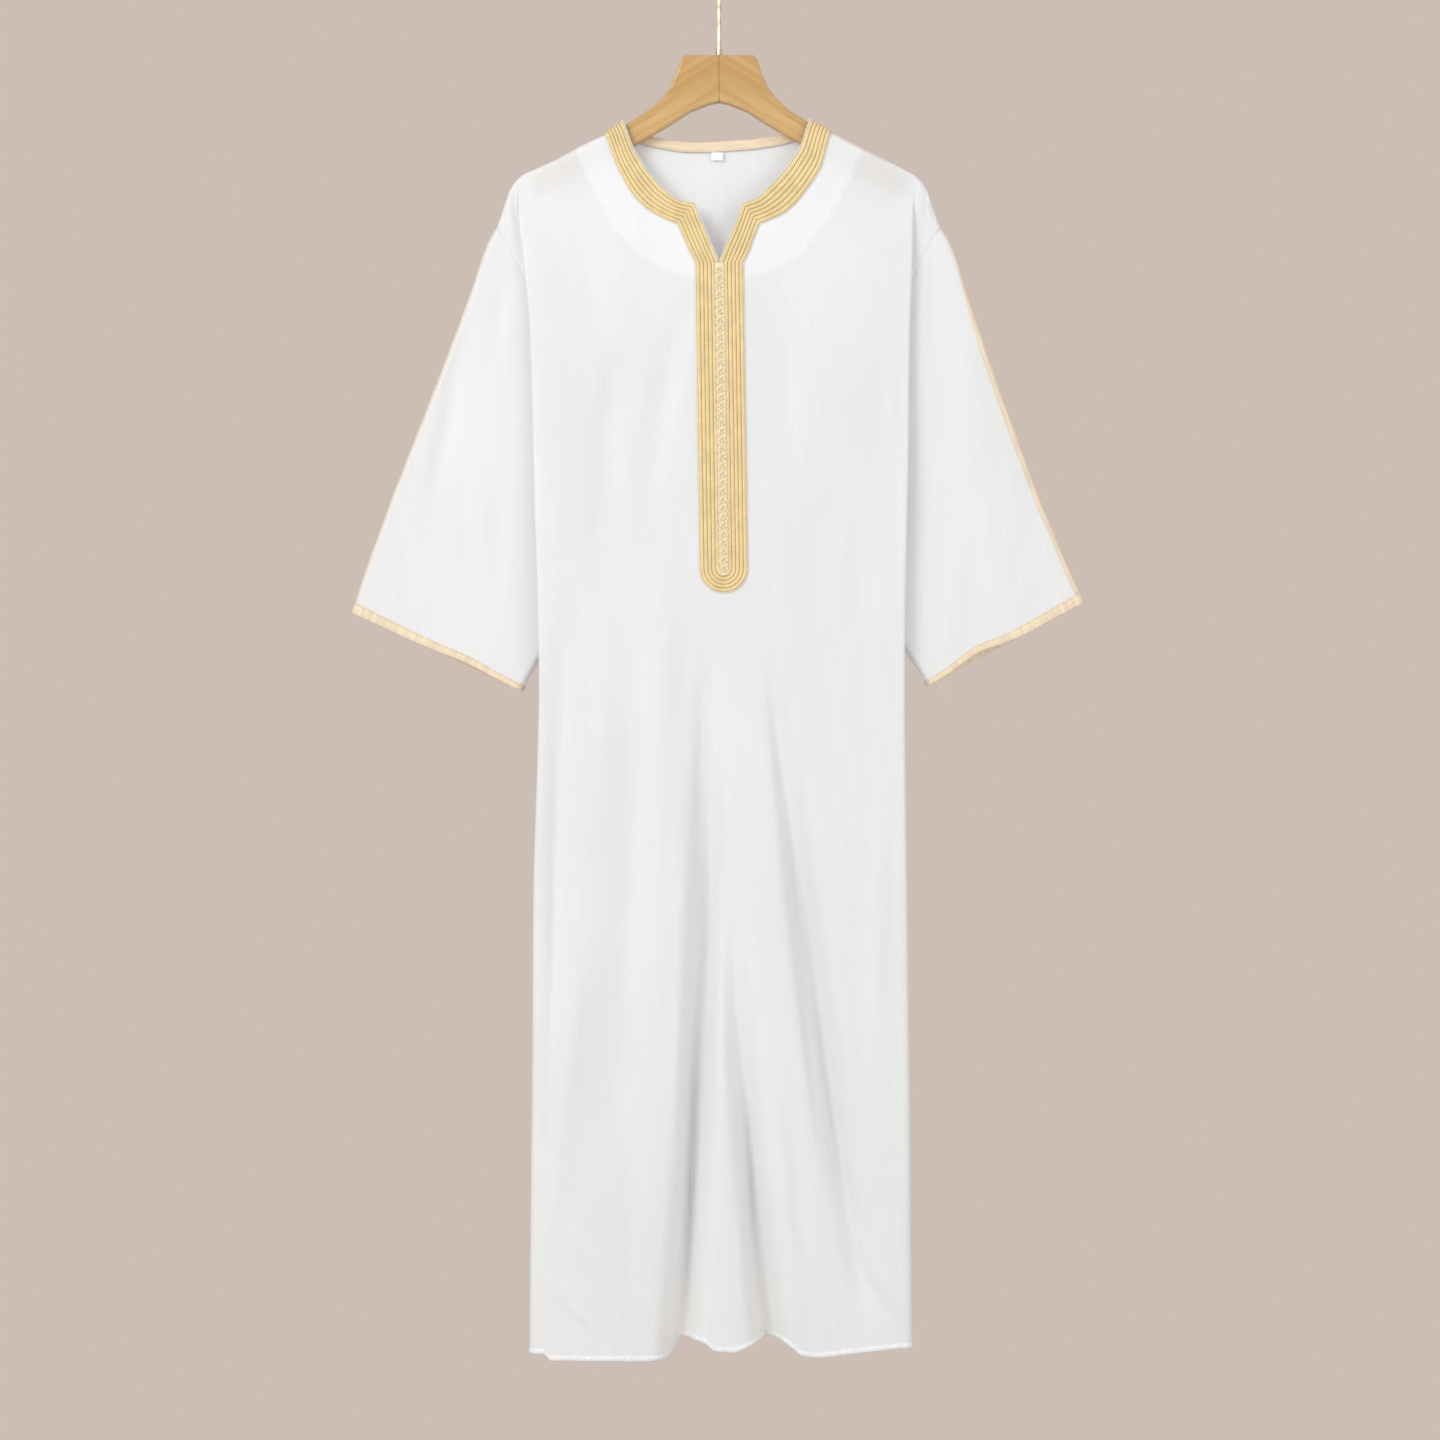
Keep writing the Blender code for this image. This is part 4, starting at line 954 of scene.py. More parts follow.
class Heap:
    """Many small forms gathered into one mesh."""

    def __init__(self):
        self.points, self.faces = [], []

    def add_grid(self, rows, closed=False):
        base, count = len(self.points), len(rows[0])
        for row in rows:
            self.points += row
        for r in range(len(rows) - 1):
            for k in range(count if closed else count - 1):
                after = (k + 1) % count
                self.faces.append((base + r * count + k, base + (r + 1) * count + k,
                                   base + (r + 1) * count + after, base + r * count + after))
        return base, count

    def add_tube(self, rows):
        base, count = self.add_grid(rows, closed=True)
        last = base + (len(rows) - 1) * count
        self.faces.append(tuple(base + k for k in range(count)))
        self.faces.append(tuple(last + count - 1 - k for k in range(count)))

    def add_bead(self, centre, across, down, out, sizes, around=8, bands=5):
        """A round bead with its half sizes across, down and outwards, in millimetres."""
        rows = []
        for r in range(1, bands):
            polar = math.pi * r / bands
            rows.append([centre + (across * sizes[0] * math.sin(polar) * math.cos(turn)
                                   + down * sizes[1] * math.cos(polar)
                                   + out * sizes[2] * math.sin(polar) * math.sin(turn)) * MM
                         for turn in (2 * math.pi * k / around for k in range(around))])
        self.add_tube(rows)

    def add_ring(self, centre, across, down, out, wide, tall, thick, start, around=14, sides=6):
        """A small open loop of cord lying on the placket."""
        rows = []
        for r in range(around + 1):
            turn = start + 0.86 * 2 * math.pi * r / around
            way = across * math.cos(turn) + down * math.sin(turn)
            spot = centre + (across * wide * math.cos(turn) + down * tall * math.sin(turn)) * MM
            rows.append([spot + (way * math.cos(2 * math.pi * k / sides)
                                 + out * math.sin(2 * math.pi * k / sides)) * thick * MM
                         for k in range(sides)])
        self.add_tube(rows)

    def mesh(self, name):
        mesh = bpy.data.meshes.new(name)
        mesh.from_pydata(self.points, [], self.faces)
        mesh.update()
        mesh.shade_smooth()
        return mesh


def srgb(red, green, blue):
    """A colour given from 0 to 255 as the shaders want it."""
    return tuple((value / 255 / 12.92) if value < 10.3 else ((value / 255 + 0.055) / 1.055) ** 2.4
                 for value in (red, green, blue))


class Finish:
    """A finish being made, with short ways to add its nodes."""

    def __init__(self, name, colour, roughness, metallic=0.0, sheen=0.0, specular=0.5):
        self.material = bpy.data.materials.new(name)
        self.material.use_nodes = True
        self.tree = self.material.node_tree
        self.shader = self.tree.nodes["Principled BSDF"]
        self.output = self.tree.nodes["Material Output"]
        self.set("Base Color", (*colour, 1.0))
        self.set("Roughness", roughness)
        self.set("Metallic", metallic)
        self.set("Sheen Weight", sheen)
        self.set("Specular IOR Level", specular)

    def set(self, socket, value):
        self.shader.inputs[socket].default_value = value

    def node(self, kind, **settings):
        node = self.tree.nodes.new(kind)
        for key, value in settings.items():
            setattr(node, key, value)
        return node

    def join(self, start, stop):
        self.tree.links.new(start, stop)

    def place(self, scale, turn=(0.0, 0.0, 0.0), kind="Object"):
        return self.mapped(self.node("ShaderNodeTexCoord").outputs[kind], scale, turn)

    def grain(self, vector, scale=1.0, detail=2.0, rough=0.5):
        texture = self.node("ShaderNodeTexNoise")
        texture.inputs["Scale"].default_value = scale
        texture.inputs["Detail"].default_value = detail
        texture.inputs["Roughness"].default_value = rough
        self.join(vector, texture.inputs["Vector"])
        return texture.outputs["Fac"]

    def sum(self, operation, first, second):
        node = self.node("ShaderNodeMath", operation=operation)
        for socket, value in zip(node.inputs, (first, second)):
            if isinstance(value, (int, float)):
                socket.default_value = value
            else:
                self.join(value, socket)
        return node.outputs["Value"]

    def mix_of(self, first, share, second):
        """Two grains in one, the first with its share and the second with the rest."""
        return self.sum("ADD", self.sum("MULTIPLY", first, share),
                        self.sum("MULTIPLY", second, 1.0 - share))

    def between(self, value, low, high, bottom=0.0, top=1.0):
        node = self.node("ShaderNodeMapRange", interpolation_type="SMOOTHSTEP")
        for name, number in (("From Min", low), ("From Max", high),
                             ("To Min", bottom), ("To Max", top)):
            node.inputs[name].default_value = number
        self.join(value, node.inputs["Value"])
        return node.outputs["Result"]

    def blend(self, share, first, second):
        node = self.node("ShaderNodeMix", data_type="RGBA")
        self.join(share, node.inputs[0])
        for socket, colour in ((node.inputs[6], first), (node.inputs[7], second)):
            if isinstance(colour, tuple):
                socket.default_value = (*colour, 1.0)
            else:
                self.join(colour, socket)
        return node.outputs[2]

    def colour(self, socket):
        self.join(socket, self.shader.inputs["Base Color"])

    def tones(self, value, low, high, dark, light):
        """Colours the finish from one tone to another where a value runs from low to high."""
        self.colour(self.blend(self.between(value, low, high), dark, light))

    def mapped(self, vector, scale=(1.0, 1.0, 1.0), turn=(0.0, 0.0, 0.0)):
        mapping = self.node("ShaderNodeMapping")
        mapping.inputs["Scale"].default_value = scale
        mapping.inputs["Rotation"].default_value = turn
        self.join(vector, mapping.inputs["Vector"])
        return mapping.outputs["Vector"]

    def relief(self, height, strength, depth, before=None):
        bump = self.node("ShaderNodeBump")
        bump.inputs["Strength"].default_value = strength
        bump.inputs["Distance"].default_value = depth * MM
        self.join(height, bump.inputs["Height"])
        if before is not None:
            self.join(before, bump.inputs["Normal"])
        return bump.outputs["Normal"]

    def normal(self, socket):
        self.join(socket, self.shader.inputs["Normal"])


def shade(colour, factor):
    return tuple(min(1.0, value * factor) for value in colour)


def ochre(gold):
    """The gold darkened to a warm ochre, painted as the shade in the braid's grooves."""
    return tuple(value * share for value, share in zip(gold, (0.66, 0.55, 0.42)))


def finish_named(name, maker):
    """The finish of that name, made the first time that it is asked for."""
    return bpy.data.materials.get(name) or maker(name)


def settings():
    return bpy.context.scene.robe


LINED_SEE_THROUGH = 0.02


def cloth_finish(name):
    """Thin white woven cloth with faint upright slubs, which lets a little light through."""
    colour = tuple(settings().cloth_colour)
    finish = Finish(name, colour, 0.52, sheen=0.12, specular=0.32)
    slubs = finish.grain(finish.place((520.0, 520.0, 9.0)), 1.0, 3.0)
    clouds = finish.grain(finish.place((14.0, 14.0, 5.0)), 1.0, 1.0)
    uneven = finish.mix_of(slubs, 0.55, clouds)
    finish.tones(uneven, 0.38, 0.62, shade(colour, 0.976), shade(colour, 1.012))
    weave = finish.grain(finish.place((2600.0, 2600.0, 1700.0)), 1.0, 0.0)
    fine = finish.relief(weave, settings().weave_depth, 0.05)
    finish.normal(finish.relief(slubs, 0.17, 0.12, fine))
    light = finish.node("ShaderNodeBsdfTranslucent")
    light.inputs["Color"].default_value = (*shade(colour, 0.98), 1.0)
    clear = finish.node("ShaderNodeBsdfTransparent")
    layers = finish.node("ShaderNodeAttribute", attribute_name="layers")
    glow = finish.node("ShaderNodeMixShader")
    glow.inputs["Fac"].default_value = settings().glow
    finish.join(finish.shader.outputs["BSDF"], glow.inputs[1])
    finish.join(light.outputs["BSDF"], glow.inputs[2])
    seen = finish.node("ShaderNodeMixShader")
    share = finish.between(layers.outputs["Fac"], 0.0, 1.0,
                           settings().see_through, LINED_SEE_THROUGH)
    finish.join(share, seen.inputs["Fac"])
    finish.join(glow.outputs["Shader"], seen.inputs[1])
    finish.join(clear.outputs["BSDF"], seen.inputs[2])
    finish.join(seen.outputs["Shader"], finish.output.inputs["Surface"])
    return finish.material


def hem_finish(name):
    """The cloth of the rolled hem, a little duller than the open cloth."""
    colour = shade(tuple(settings().cloth_colour), 0.93)
    finish = Finish(name, colour, 0.5, sheen=0.1, specular=0.35)
    puckers = finish.grain(finish.place((260.0, 260.0, 260.0)), 1.0, 2.0)
    finish.tones(puckers, 0.35, 0.65, shade(colour, 0.94), shade(colour, 1.03))
    finish.normal(finish.relief(puckers, 0.35, 0.3))
    return finish.material


def satin_finish(name):
    """Peach satin bias tape, with fine slanting yarns and small drag lines."""
    colour = tuple(settings().satin_colour)
    finish = Finish(name, colour, 0.38, sheen=0.08, specular=0.5)
    yarns = finish.grain(finish.place((3000.0, 240.0, 1.0), (0.0, 0.0, 0.7), "UV"), 1.0, 1.0)
    drags = finish.grain(finish.place((170.0, 30.0, 1.0), (0.0, 0.0, 0.5), "UV"), 1.0, 2.0)
    tone = finish.mix_of(yarns, 0.35, drags)
    finish.tones(tone, 0.36, 0.66, shade(colour, 0.88), shade(colour, 1.06))
    finish.set("Anisotropic", 0.4)
    finish.normal(finish.relief(drags, 0.3, 0.35, finish.relief(yarns, 0.2, 0.06)))
    return finish.material


def gold_finish(name):
    """Shiny gold cord of two plies, with painted shade: darker between its plies and ochre at its
    sides, where it dips into the grooves.
    """
    colour = tuple(settings().gold_colour)
    finish = Finish(name, colour, 0.36, sheen=0.15, specular=0.6)
    unrolled = finish.node("ShaderNodeTexCoord")
    parts = finish.node("ShaderNodeSeparateXYZ")
    finish.join(unrolled.outputs["UV"], parts.inputs[0])
    lay = finish.sum("ADD", finish.sum("MULTIPLY", parts.outputs[0], 2 * math.pi),
                     finish.sum("MULTIPLY", parts.outputs[1], 2 * math.pi))
    plies = finish.between(finish.sum("COSINE", lay, 0.0), -0.9, 0.7)
    crown = finish.sum("SINE", finish.sum("MULTIPLY", parts.outputs[1], math.pi), 0.0)
    uneven = finish.grain(finish.place((90.0, 90.0, 60.0)), 1.0, 2.0)
    light = finish.blend(finish.between(uneven, 0.35, 0.65), shade(colour, 0.9), shade(colour, 1.1))
    # Painted shade between the plies, darker where the twist dips.
    painted_ply_shade = finish.blend(plies, shade(colour, 0.84), light)
    # Painted shade: the cord's sides take the ochre groove tone, and its crown takes the lighter
    # ply colour.
    finish.tones(crown, 0.1, 0.78, ochre(colour), painted_ply_shade)
    fibres = finish.grain(finish.place((1500.0, 1500.0, 1500.0)), 1.0, 1.0)
    finish.normal(finish.relief(plies, 0.5, 0.35, finish.relief(fibres, 0.25, 0.06)))
    return finish.material


def groove_finish(name):
    # The braid's ground, seen between the cords, coloured ochre as painted shade in the grooves.
    colour = ochre(tuple(settings().gold_colour))
    finish = Finish(name, colour, 0.6, sheen=0.1)
    yarns = finish.grain(finish.place((900.0, 900.0, 900.0)), 1.0, 2.0)
    finish.tones(yarns, 0.3, 0.7, shade(colour, 0.7), shade(colour, 1.2))
    finish.normal(finish.relief(yarns, 0.4, 0.15))
    return finish.material


def thread_finish(name, colour):
    """Smooth spun thread, for picots, stitches, knots and edges."""
    finish = Finish(name, colour, 0.42, sheen=0.12, specular=0.5)
    spun = finish.grain(finish.place((700.0, 700.0, 700.0), (0.5, 0.3, 0.2)), 1.0, 2.0)
    finish.tones(spun, 0.3, 0.7, shade(colour, 0.84), shade(colour, 1.06))
    finish.normal(finish.relief(spun, 0.35, 0.12))
    return finish.material


def label_finish(name):
    finish = Finish(name, srgb(236, 236, 236), 0.6, sheen=0.1)
    ribs = finish.grain(finish.place((120.0, 120.0, 3200.0)), 1.0, 0.0)
    finish.tones(ribs, 0.3, 0.7, srgb(240, 240, 242), srgb(252, 252, 252))
    finish.normal(finish.relief(ribs, 0.3, 0.08))
    return finish.material


ARM_SLOPE = -31


def beech_finish(name):
    """Lacquered beech, its grain running along each arm, with a fine joint at the middle."""
    finish = Finish(name, srgb(197, 157, 98), 0.36, specular=0.5)
    where = finish.node("ShaderNodeTexCoord")
    parts = finish.node("ShaderNodeSeparateXYZ")
    finish.join(where.outputs["Object"], parts.inputs[0])
    out = finish.sum("ABSOLUTE", parts.outputs[0], 0.0)
    folded = finish.node("ShaderNodeCombineXYZ")
    finish.join(out, folded.inputs[0])
    finish.join(parts.outputs[1], folded.inputs[1])
    finish.join(parts.outputs[2], folded.inputs[2])
    arm = finish.mapped(folded.outputs[0], turn=(0.0, math.radians(ARM_SLOPE), 0.0))
    rings = finish.grain(finish.mapped(arm, (5.0, 60.0, 95.0)), 1.0, 3.0, 0.6)
    flecks = finish.grain(finish.mapped(arm, (60.0, 700.0, 900.0)), 1.0, 2.0)
    base = finish.blend(finish.between(rings, 0.32, 0.68), srgb(194, 150, 88), srgb(214, 174, 114))
    flecked = finish.blend(finish.between(flecks, 0.58, 0.78, 0.0, 0.35), base, srgb(160, 117, 64))
    joint = finish.between(out, 0.0002, 0.0006)
    finish.colour(finish.blend(joint, srgb(120, 84, 44), flecked))
    finish.set("Coat Weight", 0.25)
    finish.set("Coat Roughness", 0.22)
    finish.normal(finish.relief(joint, 0.4, 0.3, finish.relief(flecks, 0.15, 0.06)))
    return finish.material


def brass_finish(name):
    finish = Finish(name, srgb(206, 188, 150), 0.24, metallic=1.0)
    drawn = finish.grain(finish.place((900.0, 900.0, 60.0)), 1.0, 2.0)
    dull = finish.grain(finish.place((70.0, 70.0, 70.0)), 1.0, 3.0)
    finish.tones(dull, 0.35, 0.7, srgb(214, 196, 158), srgb(176, 156, 116))
    finish.join(finish.between(dull, 0.3, 0.7, 0.18, 0.36), finish.shader.inputs["Roughness"])
    finish.normal(finish.relief(drawn, 0.12, 0.04))
    return finish.material


def white_thread(name):
    return thread_finish(name, srgb(238, 236, 231))


def cream_thread(name):
    return thread_finish(name, srgb(249, 233, 206))


def gold_thread(name):
    return thread_finish(name, srgb(241, 214, 150))


def tint(name, words, value):
    return bpy.props.FloatVectorProperty(name=name, description=words, subtype="COLOR",
                                         min=0.0, max=1.0, default=value)


def share_of(name, words, value):
    return bpy.props.FloatProperty(name=name, description=words, subtype="FACTOR",
                                   min=0.0, max=1.0, default=value)


def amount(name, words, value, low=0.0, high=1000.0):
    return bpy.props.FloatProperty(name=name, description=words, default=value, min=low, max=high)


class RobeSettings(bpy.types.PropertyGroup):
    cloth_colour: tint("Cloth", "Colour of the robe's cloth", srgb(250, 250, 249))
    satin_colour: tint("Satin", "Colour of the bindings and tapes", srgb(243, 221, 190))
    gold_colour: tint("Gold", "Colour of the braid's cords", srgb(242, 216, 156))
    see_through: share_of("See-through", "Share of light that passes between the yarns", 0.13)
    glow: share_of("Glow", "Share of light that the cloth lets through softly", 0.16)
    weave_depth: share_of("Weave", "Strength of the fine weave", 0.25)
    hem_height: amount("Hem", "Height of the rolled hem in millimetres", 5.4, 2.0, 20.0)
    stitch_length: amount("Stitch", "Length of a stitch in millimetres", 2.3, 0.5, 6.0)
    cord_height: amount("Cord height", "Height of the braid's cords in millimetres", 1.5, 0.5, 3.0)
    key_light: amount("Key light", "Power of the large light on the left in watts", 63.0)
    fill_light: amount("Fill light", "Power of the light on the right in watts", 19.0)
    back_light: amount("Back light", "Power of the light behind the robe in watts", 9.0)
    surround: amount("Surround", "Strength of the pale studio all round", 0.79)
    floor_drop: bpy.props.FloatProperty(
        name="Floor", description="Distance of the floor below the hook", unit="LENGTH",
        default=1.9, min=1.6)


class ROBE_OT_front(bpy.types.Operator):
    """Make the front, with its side folds, skirt folds and rolled hem"""
    bl_idname = "robe.front"
    bl_label = "Front"

    def execute(self, context):
        cloth = finish_named("woven_cloth", cloth_finish)
        hem = finish_named("white_hem", hem_finish)
        grid = panel_grid("front")
        front = piece_of("front_cloth", sheet_mesh("front_cloth", grid, layers=layers_at),
                         cloth, "white_cloth", "front_panel")
        hem_piece = make_hem("front_hem", grid, hem, 4.0, outward=-1)
        return {"FINISHED"}


class ROBE_OT_back(bpy.types.Operator):
    """Make the back, cut a little shorter, with its own hem"""
    bl_idname = "robe.back"
    bl_label = "Back"

    def execute(self, context):
        cloth = finish_named("woven_cloth", cloth_finish)
        hem = finish_named("white_hem", hem_finish)
        grid = panel_grid("back")
        back = piece_of("back_cloth", sheet_mesh("back_cloth", grid, layers=one_layer),
                        cloth, "white_cloth", "back_panel")
        back.data.flip_normals()
        hem_piece = make_hem("back_hem", grid, hem, 9.0, outward=1)
        return {"FINISHED"}


HEM_STITCH_UP = 0.82
HEM_STITCH_OUT = 0.85
HEM_STITCH_GAP = 1.2
HEM_THREAD = 0.28


def make_hem(name, grid, material, seed, outward):
    """The rolled hem of a panel and the stitches that hold it, as two pieces."""
    rows, frames = rolled_hem(grid, settings().hem_height, seed)
    roll = piece_of(name, sheet_mesh(name, rows, closed=True), material, "white_cloth")
    height = settings().hem_height * HEM_STITCH_UP
    line = [point + up * height * MM + out * outward * HEM_STITCH_OUT * MM
            for point, up, out in frames]
    outs = [out * outward for point, up, out in frames]
    return [roll, sew(f"{name}_stitches", line, outs, HEM_STITCH_GAP, HEM_THREAD, white_thread,
                      "white_cloth")]


class ROBE_OT_sleeves(bpy.types.Operator):
    """Make the wide sleeves, each a front and a back half joined at their seams"""
    bl_idname = "robe.sleeves"
    bl_label = "Sleeves"

    def execute(self, context):
        cloth = finish_named("woven_cloth", cloth_finish)
        shares = spread_shares(SLEEVE_COLUMNS)
        rows = [0.002, 0.005, 0.008, 0.011] + [0.002 + 0.998 * k / SLEEVE_ROWS
                                                for k in range(1, SLEEVE_ROWS + 1)]
        for side in (LEFT, RIGHT):
            for face in ("front", "back"):
                node = f"sleeve_{side_name(side)}_{face}"
                grid = [[sleeve_face(side, face, t, share) for share in shares] for t in rows]
                half = piece_of(f"{node}_cloth", sheet_mesh(node, grid, layers=one_layer),
                                cloth, "white_cloth", node)
                if (side == RIGHT) == (face == "front"):
                    half.data.flip_normals()
        return {"FINISHED"}


CUFF_PROFILE = ((-10.6, 0.25), (-10.4, 1.1), (-5.0, 1.35), (-0.6, 1.25), (1.4, 0.9), (1.9, 0.1),
                (1.2, -0.5), (-8.0, -0.5))
CUFF_STITCH_UP = 9.4
CUFF_ROUND_SHARE = 0.06


class ROBE_OT_cuffs(bpy.types.Operator):
    """Make the satin bindings folded round the cuffs, with their stitches"""
    bl_idname = "robe.cuffs"
    bl_label = "Cuff bindings"

    def execute(self, context):
        satin = finish_named("bias_satin", satin_finish)
        shares = spread_shares(64)
        for side in (LEFT, RIGHT):
            name = f"cuff_binding_{side_name(side)}"
            around = [("front", share) for share in shares]
            around += [("back", share) for share in reversed(shares)]
            grid, sewn, outs = [], [], []
            for down, lift in CUFF_PROFILE:
                t = 1.0 + down / SLEEVE_LENGTH
                ring = []
                for face, share in around:
                    inward = rounded(min(share, 1 - share), CUFF_ROUND_SHARE) if lift < 0 else 1.0
                    drag = 0.18 * noise.noise(Vector((share * 42.0, down / 6.0, side * 3.0)))
                    ring.append(over_sleeve(side, face, t, share, lift * inward + drag))
                grid.append(ring)
            binding = piece_of(f"{name}_satin", sheet_mesh(name, grid, closed=True), satin,
                               "peach_satin", name)
            for face, share in around:
                t = 1.0 - CUFF_STITCH_UP / SLEEVE_LENGTH
                sewn.append(over_sleeve(side, face, t, share, 1.25))
                outs.append((over_sleeve(side, face, t, share, 2.0) - sewn[-1]).normalized())
            stitches = sew(f"{name}_stitches", sewn, outs, SATIN_STITCH_GAP, 0.24, cream_thread,
                           "peach_satin")
        return {"FINISHED"}


TAPE_SHOWN = (0.0, 0.002, 0.004, 0.007, 0.011, 0.017, 0.024, 0.030)
TAPE_HIDDEN = (0.0, 0.002, 0.004, 0.006)
TAPE_ROWS = 120
TAPE_START = 0.004
TAPE_RUN = 0.974


class ROBE_OT_tapes(bpy.types.Operator):
    """Make the satin tapes over the top seams of the sleeves"""
    bl_idname = "robe.tapes"
    bl_label = "Sleeve tapes"

    def execute(self, context):
        satin = finish_named("pale_satin", satin_finish)
        for side in (LEFT, RIGHT):
            name = f"sleeve_{side_name(side)}_tape"
            front, back = (TAPE_SHOWN, TAPE_HIDDEN) if side == RIGHT else (TAPE_HIDDEN, TAPE_SHOWN)
            shown = "front" if side == RIGHT else "back"
            grid, line, outs = [], [], []
            for k in range(TAPE_ROWS + 1):
                t = TAPE_START + TAPE_RUN * k / TAPE_ROWS
                open_out = 0.12 + 0.88 * smooth_step((t - 0.03) / 0.3)
                wander = 1.0 + 0.10 * noise.noise(Vector((t * 14.0, side * 2.0, 0.0)))
                reach = open_out * wander
                row = [over_sleeve(side, "front", t, share * reach, TAPE_LIFT)
                       for share in reversed(front)]
                row += [over_sleeve(side, "back", t, share * reach, TAPE_LIFT) for share in back]
                grid.append(row)
                sewn = TAPE_SHOWN[-2] * reach
                line.append(over_sleeve(side, shown, t, sewn, TAPE_LIFT))
                outs.append((over_sleeve(side, shown, t, sewn, 2.0) - line[-1]).normalized())
            tape = piece_of(f"{name}_satin", sheet_mesh(name, grid), satin, "peach_satin", name)
            if side == LEFT:
                tape.data.flip_normals()
            add_thickness(tape, SATIN)
            stitches = sew(f"{name}_stitches", line, outs, SATIN_STITCH_GAP, 0.22, cream_thread,
                           "peach_satin")
        return {"FINISHED"}


class ROBE_OT_neck_binding(bpy.types.Operator):
    """Make the satin binding folded over the back of the neck"""
    bl_idname = "robe.neck_binding"
    bl_label = "Neck binding"

    def execute(self, context):
        satin = finish_named("bias_satin", satin_finish)
        places, drops = zip(*top_columns("back"))
        grid, sewn = [], []
        height = NECK_HEIGHT
        for k in range(NECK_STEPS + 1):
            x = NECK_LEFT + (NECK_RIGHT - NECK_LEFT) * k / NECK_STEPS
            edge = straight_read(places, drops, x)
            wave = 0.25 * noise.noise(Vector((x / 9.0, 2.0, 0.0)))
            outer = panel_depth("back", x, edge)
            lower = panel_depth("back", x, edge + height)
            inner, inner_low = outer - CLOTH - SEAM_GAP, lower - CLOTH - SEAM_GAP
            skin = SATIN + SEAM_GAP
            grid.append([
                world(x, inner_low - 0.5, edge + height + wave, 1),
                world(x, inner_low - SATIN, edge + height - 0.4 + wave, 1),
                world(x, inner_low - SATIN - 0.15, edge + height * 0.55, 1),
                world(x, inner - SATIN, edge - 0.4, 1),
                world(x, inner - 0.3, edge - skin, 1),
                world(x, (inner + outer) / 2, edge - skin - 0.5, 1),
                world(x, outer + SEAM_GAP, edge - skin, 1),
                world(x, outer + skin, edge - 0.4, 1),
                world(x, lower + skin + 0.1, edge + height * 0.55, 1),
                world(x, lower + skin, edge + height - 0.4 + wave, 1),
                world(x, lower + 0.6, edge + height + wave, 1),
            ])
            sewn.append(world(x, inner_low - SATIN - 0.12, edge + height - 1.4, 1))
        binding = piece_of("back_neck_binding_satin", sheet_mesh("back_neck_binding", grid), satin,
                           "peach_satin", "back_neck_binding")
        ways = [Vector((0.0, -1.0, 0.0))] * len(sewn)
        stitches = sew("back_neck_stitches", sewn, ways, SATIN_STITCH_GAP, 0.22, cream_thread,
                       "peach_satin")
        return {"FINISHED"}


LABEL_TOP = 217.8
LABEL_HEIGHT = 9.2
LABEL_LEFT = -8.4
LABEL_WIDTH = 12.8
LABEL_ROWS = 8
LABEL_COLUMNS = 12


class ROBE_OT_label(bpy.types.Operator):
    """Make the small bare label inside the back of the neck"""
    bl_idname = "robe.label"
    bl_label = "Label"

    def execute(self, context):
        grid = []
        for row in range(LABEL_ROWS + 1):
            drop = LABEL_TOP + LABEL_HEIGHT * row / LABEL_ROWS
            line = []
            for k in range(LABEL_COLUMNS + 1):
                x = LABEL_LEFT + LABEL_WIDTH * k / LABEL_COLUMNS
                lip = 0.9 * smooth_step((k - 9) / 3) * smooth_step(row / 5)
                inside = panel_depth("back", x, drop) - CLOTH - 1.7 - 0.25 * row / LABEL_ROWS - lip
                line.append(world(x, inside, drop, 1))
            grid.append(line)
        label = piece_of("size_label_cloth", sheet_mesh("size_label_cloth", grid),
                         finish_named("woven_label", label_finish), "label_white", "size_label")
        add_thickness(label, 0.4)
        return {"FINISHED"}


GROUND_PROFILE = ((0.0, 0.0), (0.0, 0.7), (0.25, 0.8), (0.5, 0.8), (0.75, 0.8), (1.0, 0.7),
                  (1.0, 0.0))
EDGING_SHARE = 1.018
PICOT_SHARE = -0.02


class ROBE_OT_braid(bpy.types.Operator):
    """Make the braid: its ground, six twisted cords, edging and picots"""
    bl_idname = "robe.braid"
    bl_label = "Braid"

    def execute(self, context):
        frames = braid_frames(braid_stations())
        rows = []
        for line in frames:
            row = []
            for share, height in GROUND_PROFILE:
                point, out = between_frames(line, share)
                row.append(point + out * height * MM)
            rows.append(row)
        piece_of("braid_ground", sheet_mesh("braid_ground", rows),
                 finish_named("braid_ground", groove_finish), "gold_braid", "neck_braid")
        gold = finish_named("gold_cord", gold_finish)
        for pair, place in enumerate(("inner", "middle", "outer")):
            cords = [cord_rows(frames, cord, settings().cord_height)
                     for cord in (2 * pair, 2 * pair + 1)]
            name = f"braid_cords_{place}"
            piece_of(name, cords_mesh(name, cords), gold, "gold_braid")
        self.edges(frames)
        return {"FINISHED"}

    def edges(self, frames):
        """The thin cream edging outside and the white cord with its picots inside."""
        edging = Heap()
        line = [between_frames(stations, EDGING_SHARE) for stations in frames]
        edging.add_tube(tube_rows([point + out * 0.5 * MM for point, out in line],
                                  [out for point, out in line], 0.55, 5))
        piece_of("braid_edging", edging.mesh("braid_edging"),
                 finish_named("cream_thread", cream_thread), "gold_braid")
        arm = next(k for k, stations in enumerate(frames)
                   if abs(stations[0][0].x) < 1.0 * MM)
        picots = Heap()
        for part in (frames[:arm], frames[len(frames) - arm:]):
            line = [between_frames(stations, PICOT_SHARE) for stations in part]
            points = [point + out * 0.9 * MM for point, out in line]
            outs = [out for point, out in line]
            picots.add_tube(tube_rows(points, outs, 0.7, 5))
            for point, onward, out in stitch_places(points, outs, 0.9, 1.15):
                down = (onward - point).normalized()
                across = down.cross(out).normalized()
                picots.add_bead(point + out * 0.55 * MM, across, down, out, (0.95, 0.68, 0.7), 6, 4)
        piece_of("braid_picots", picots.mesh("braid_picots"),
                 finish_named("white_thread", white_thread), "gold_braid")


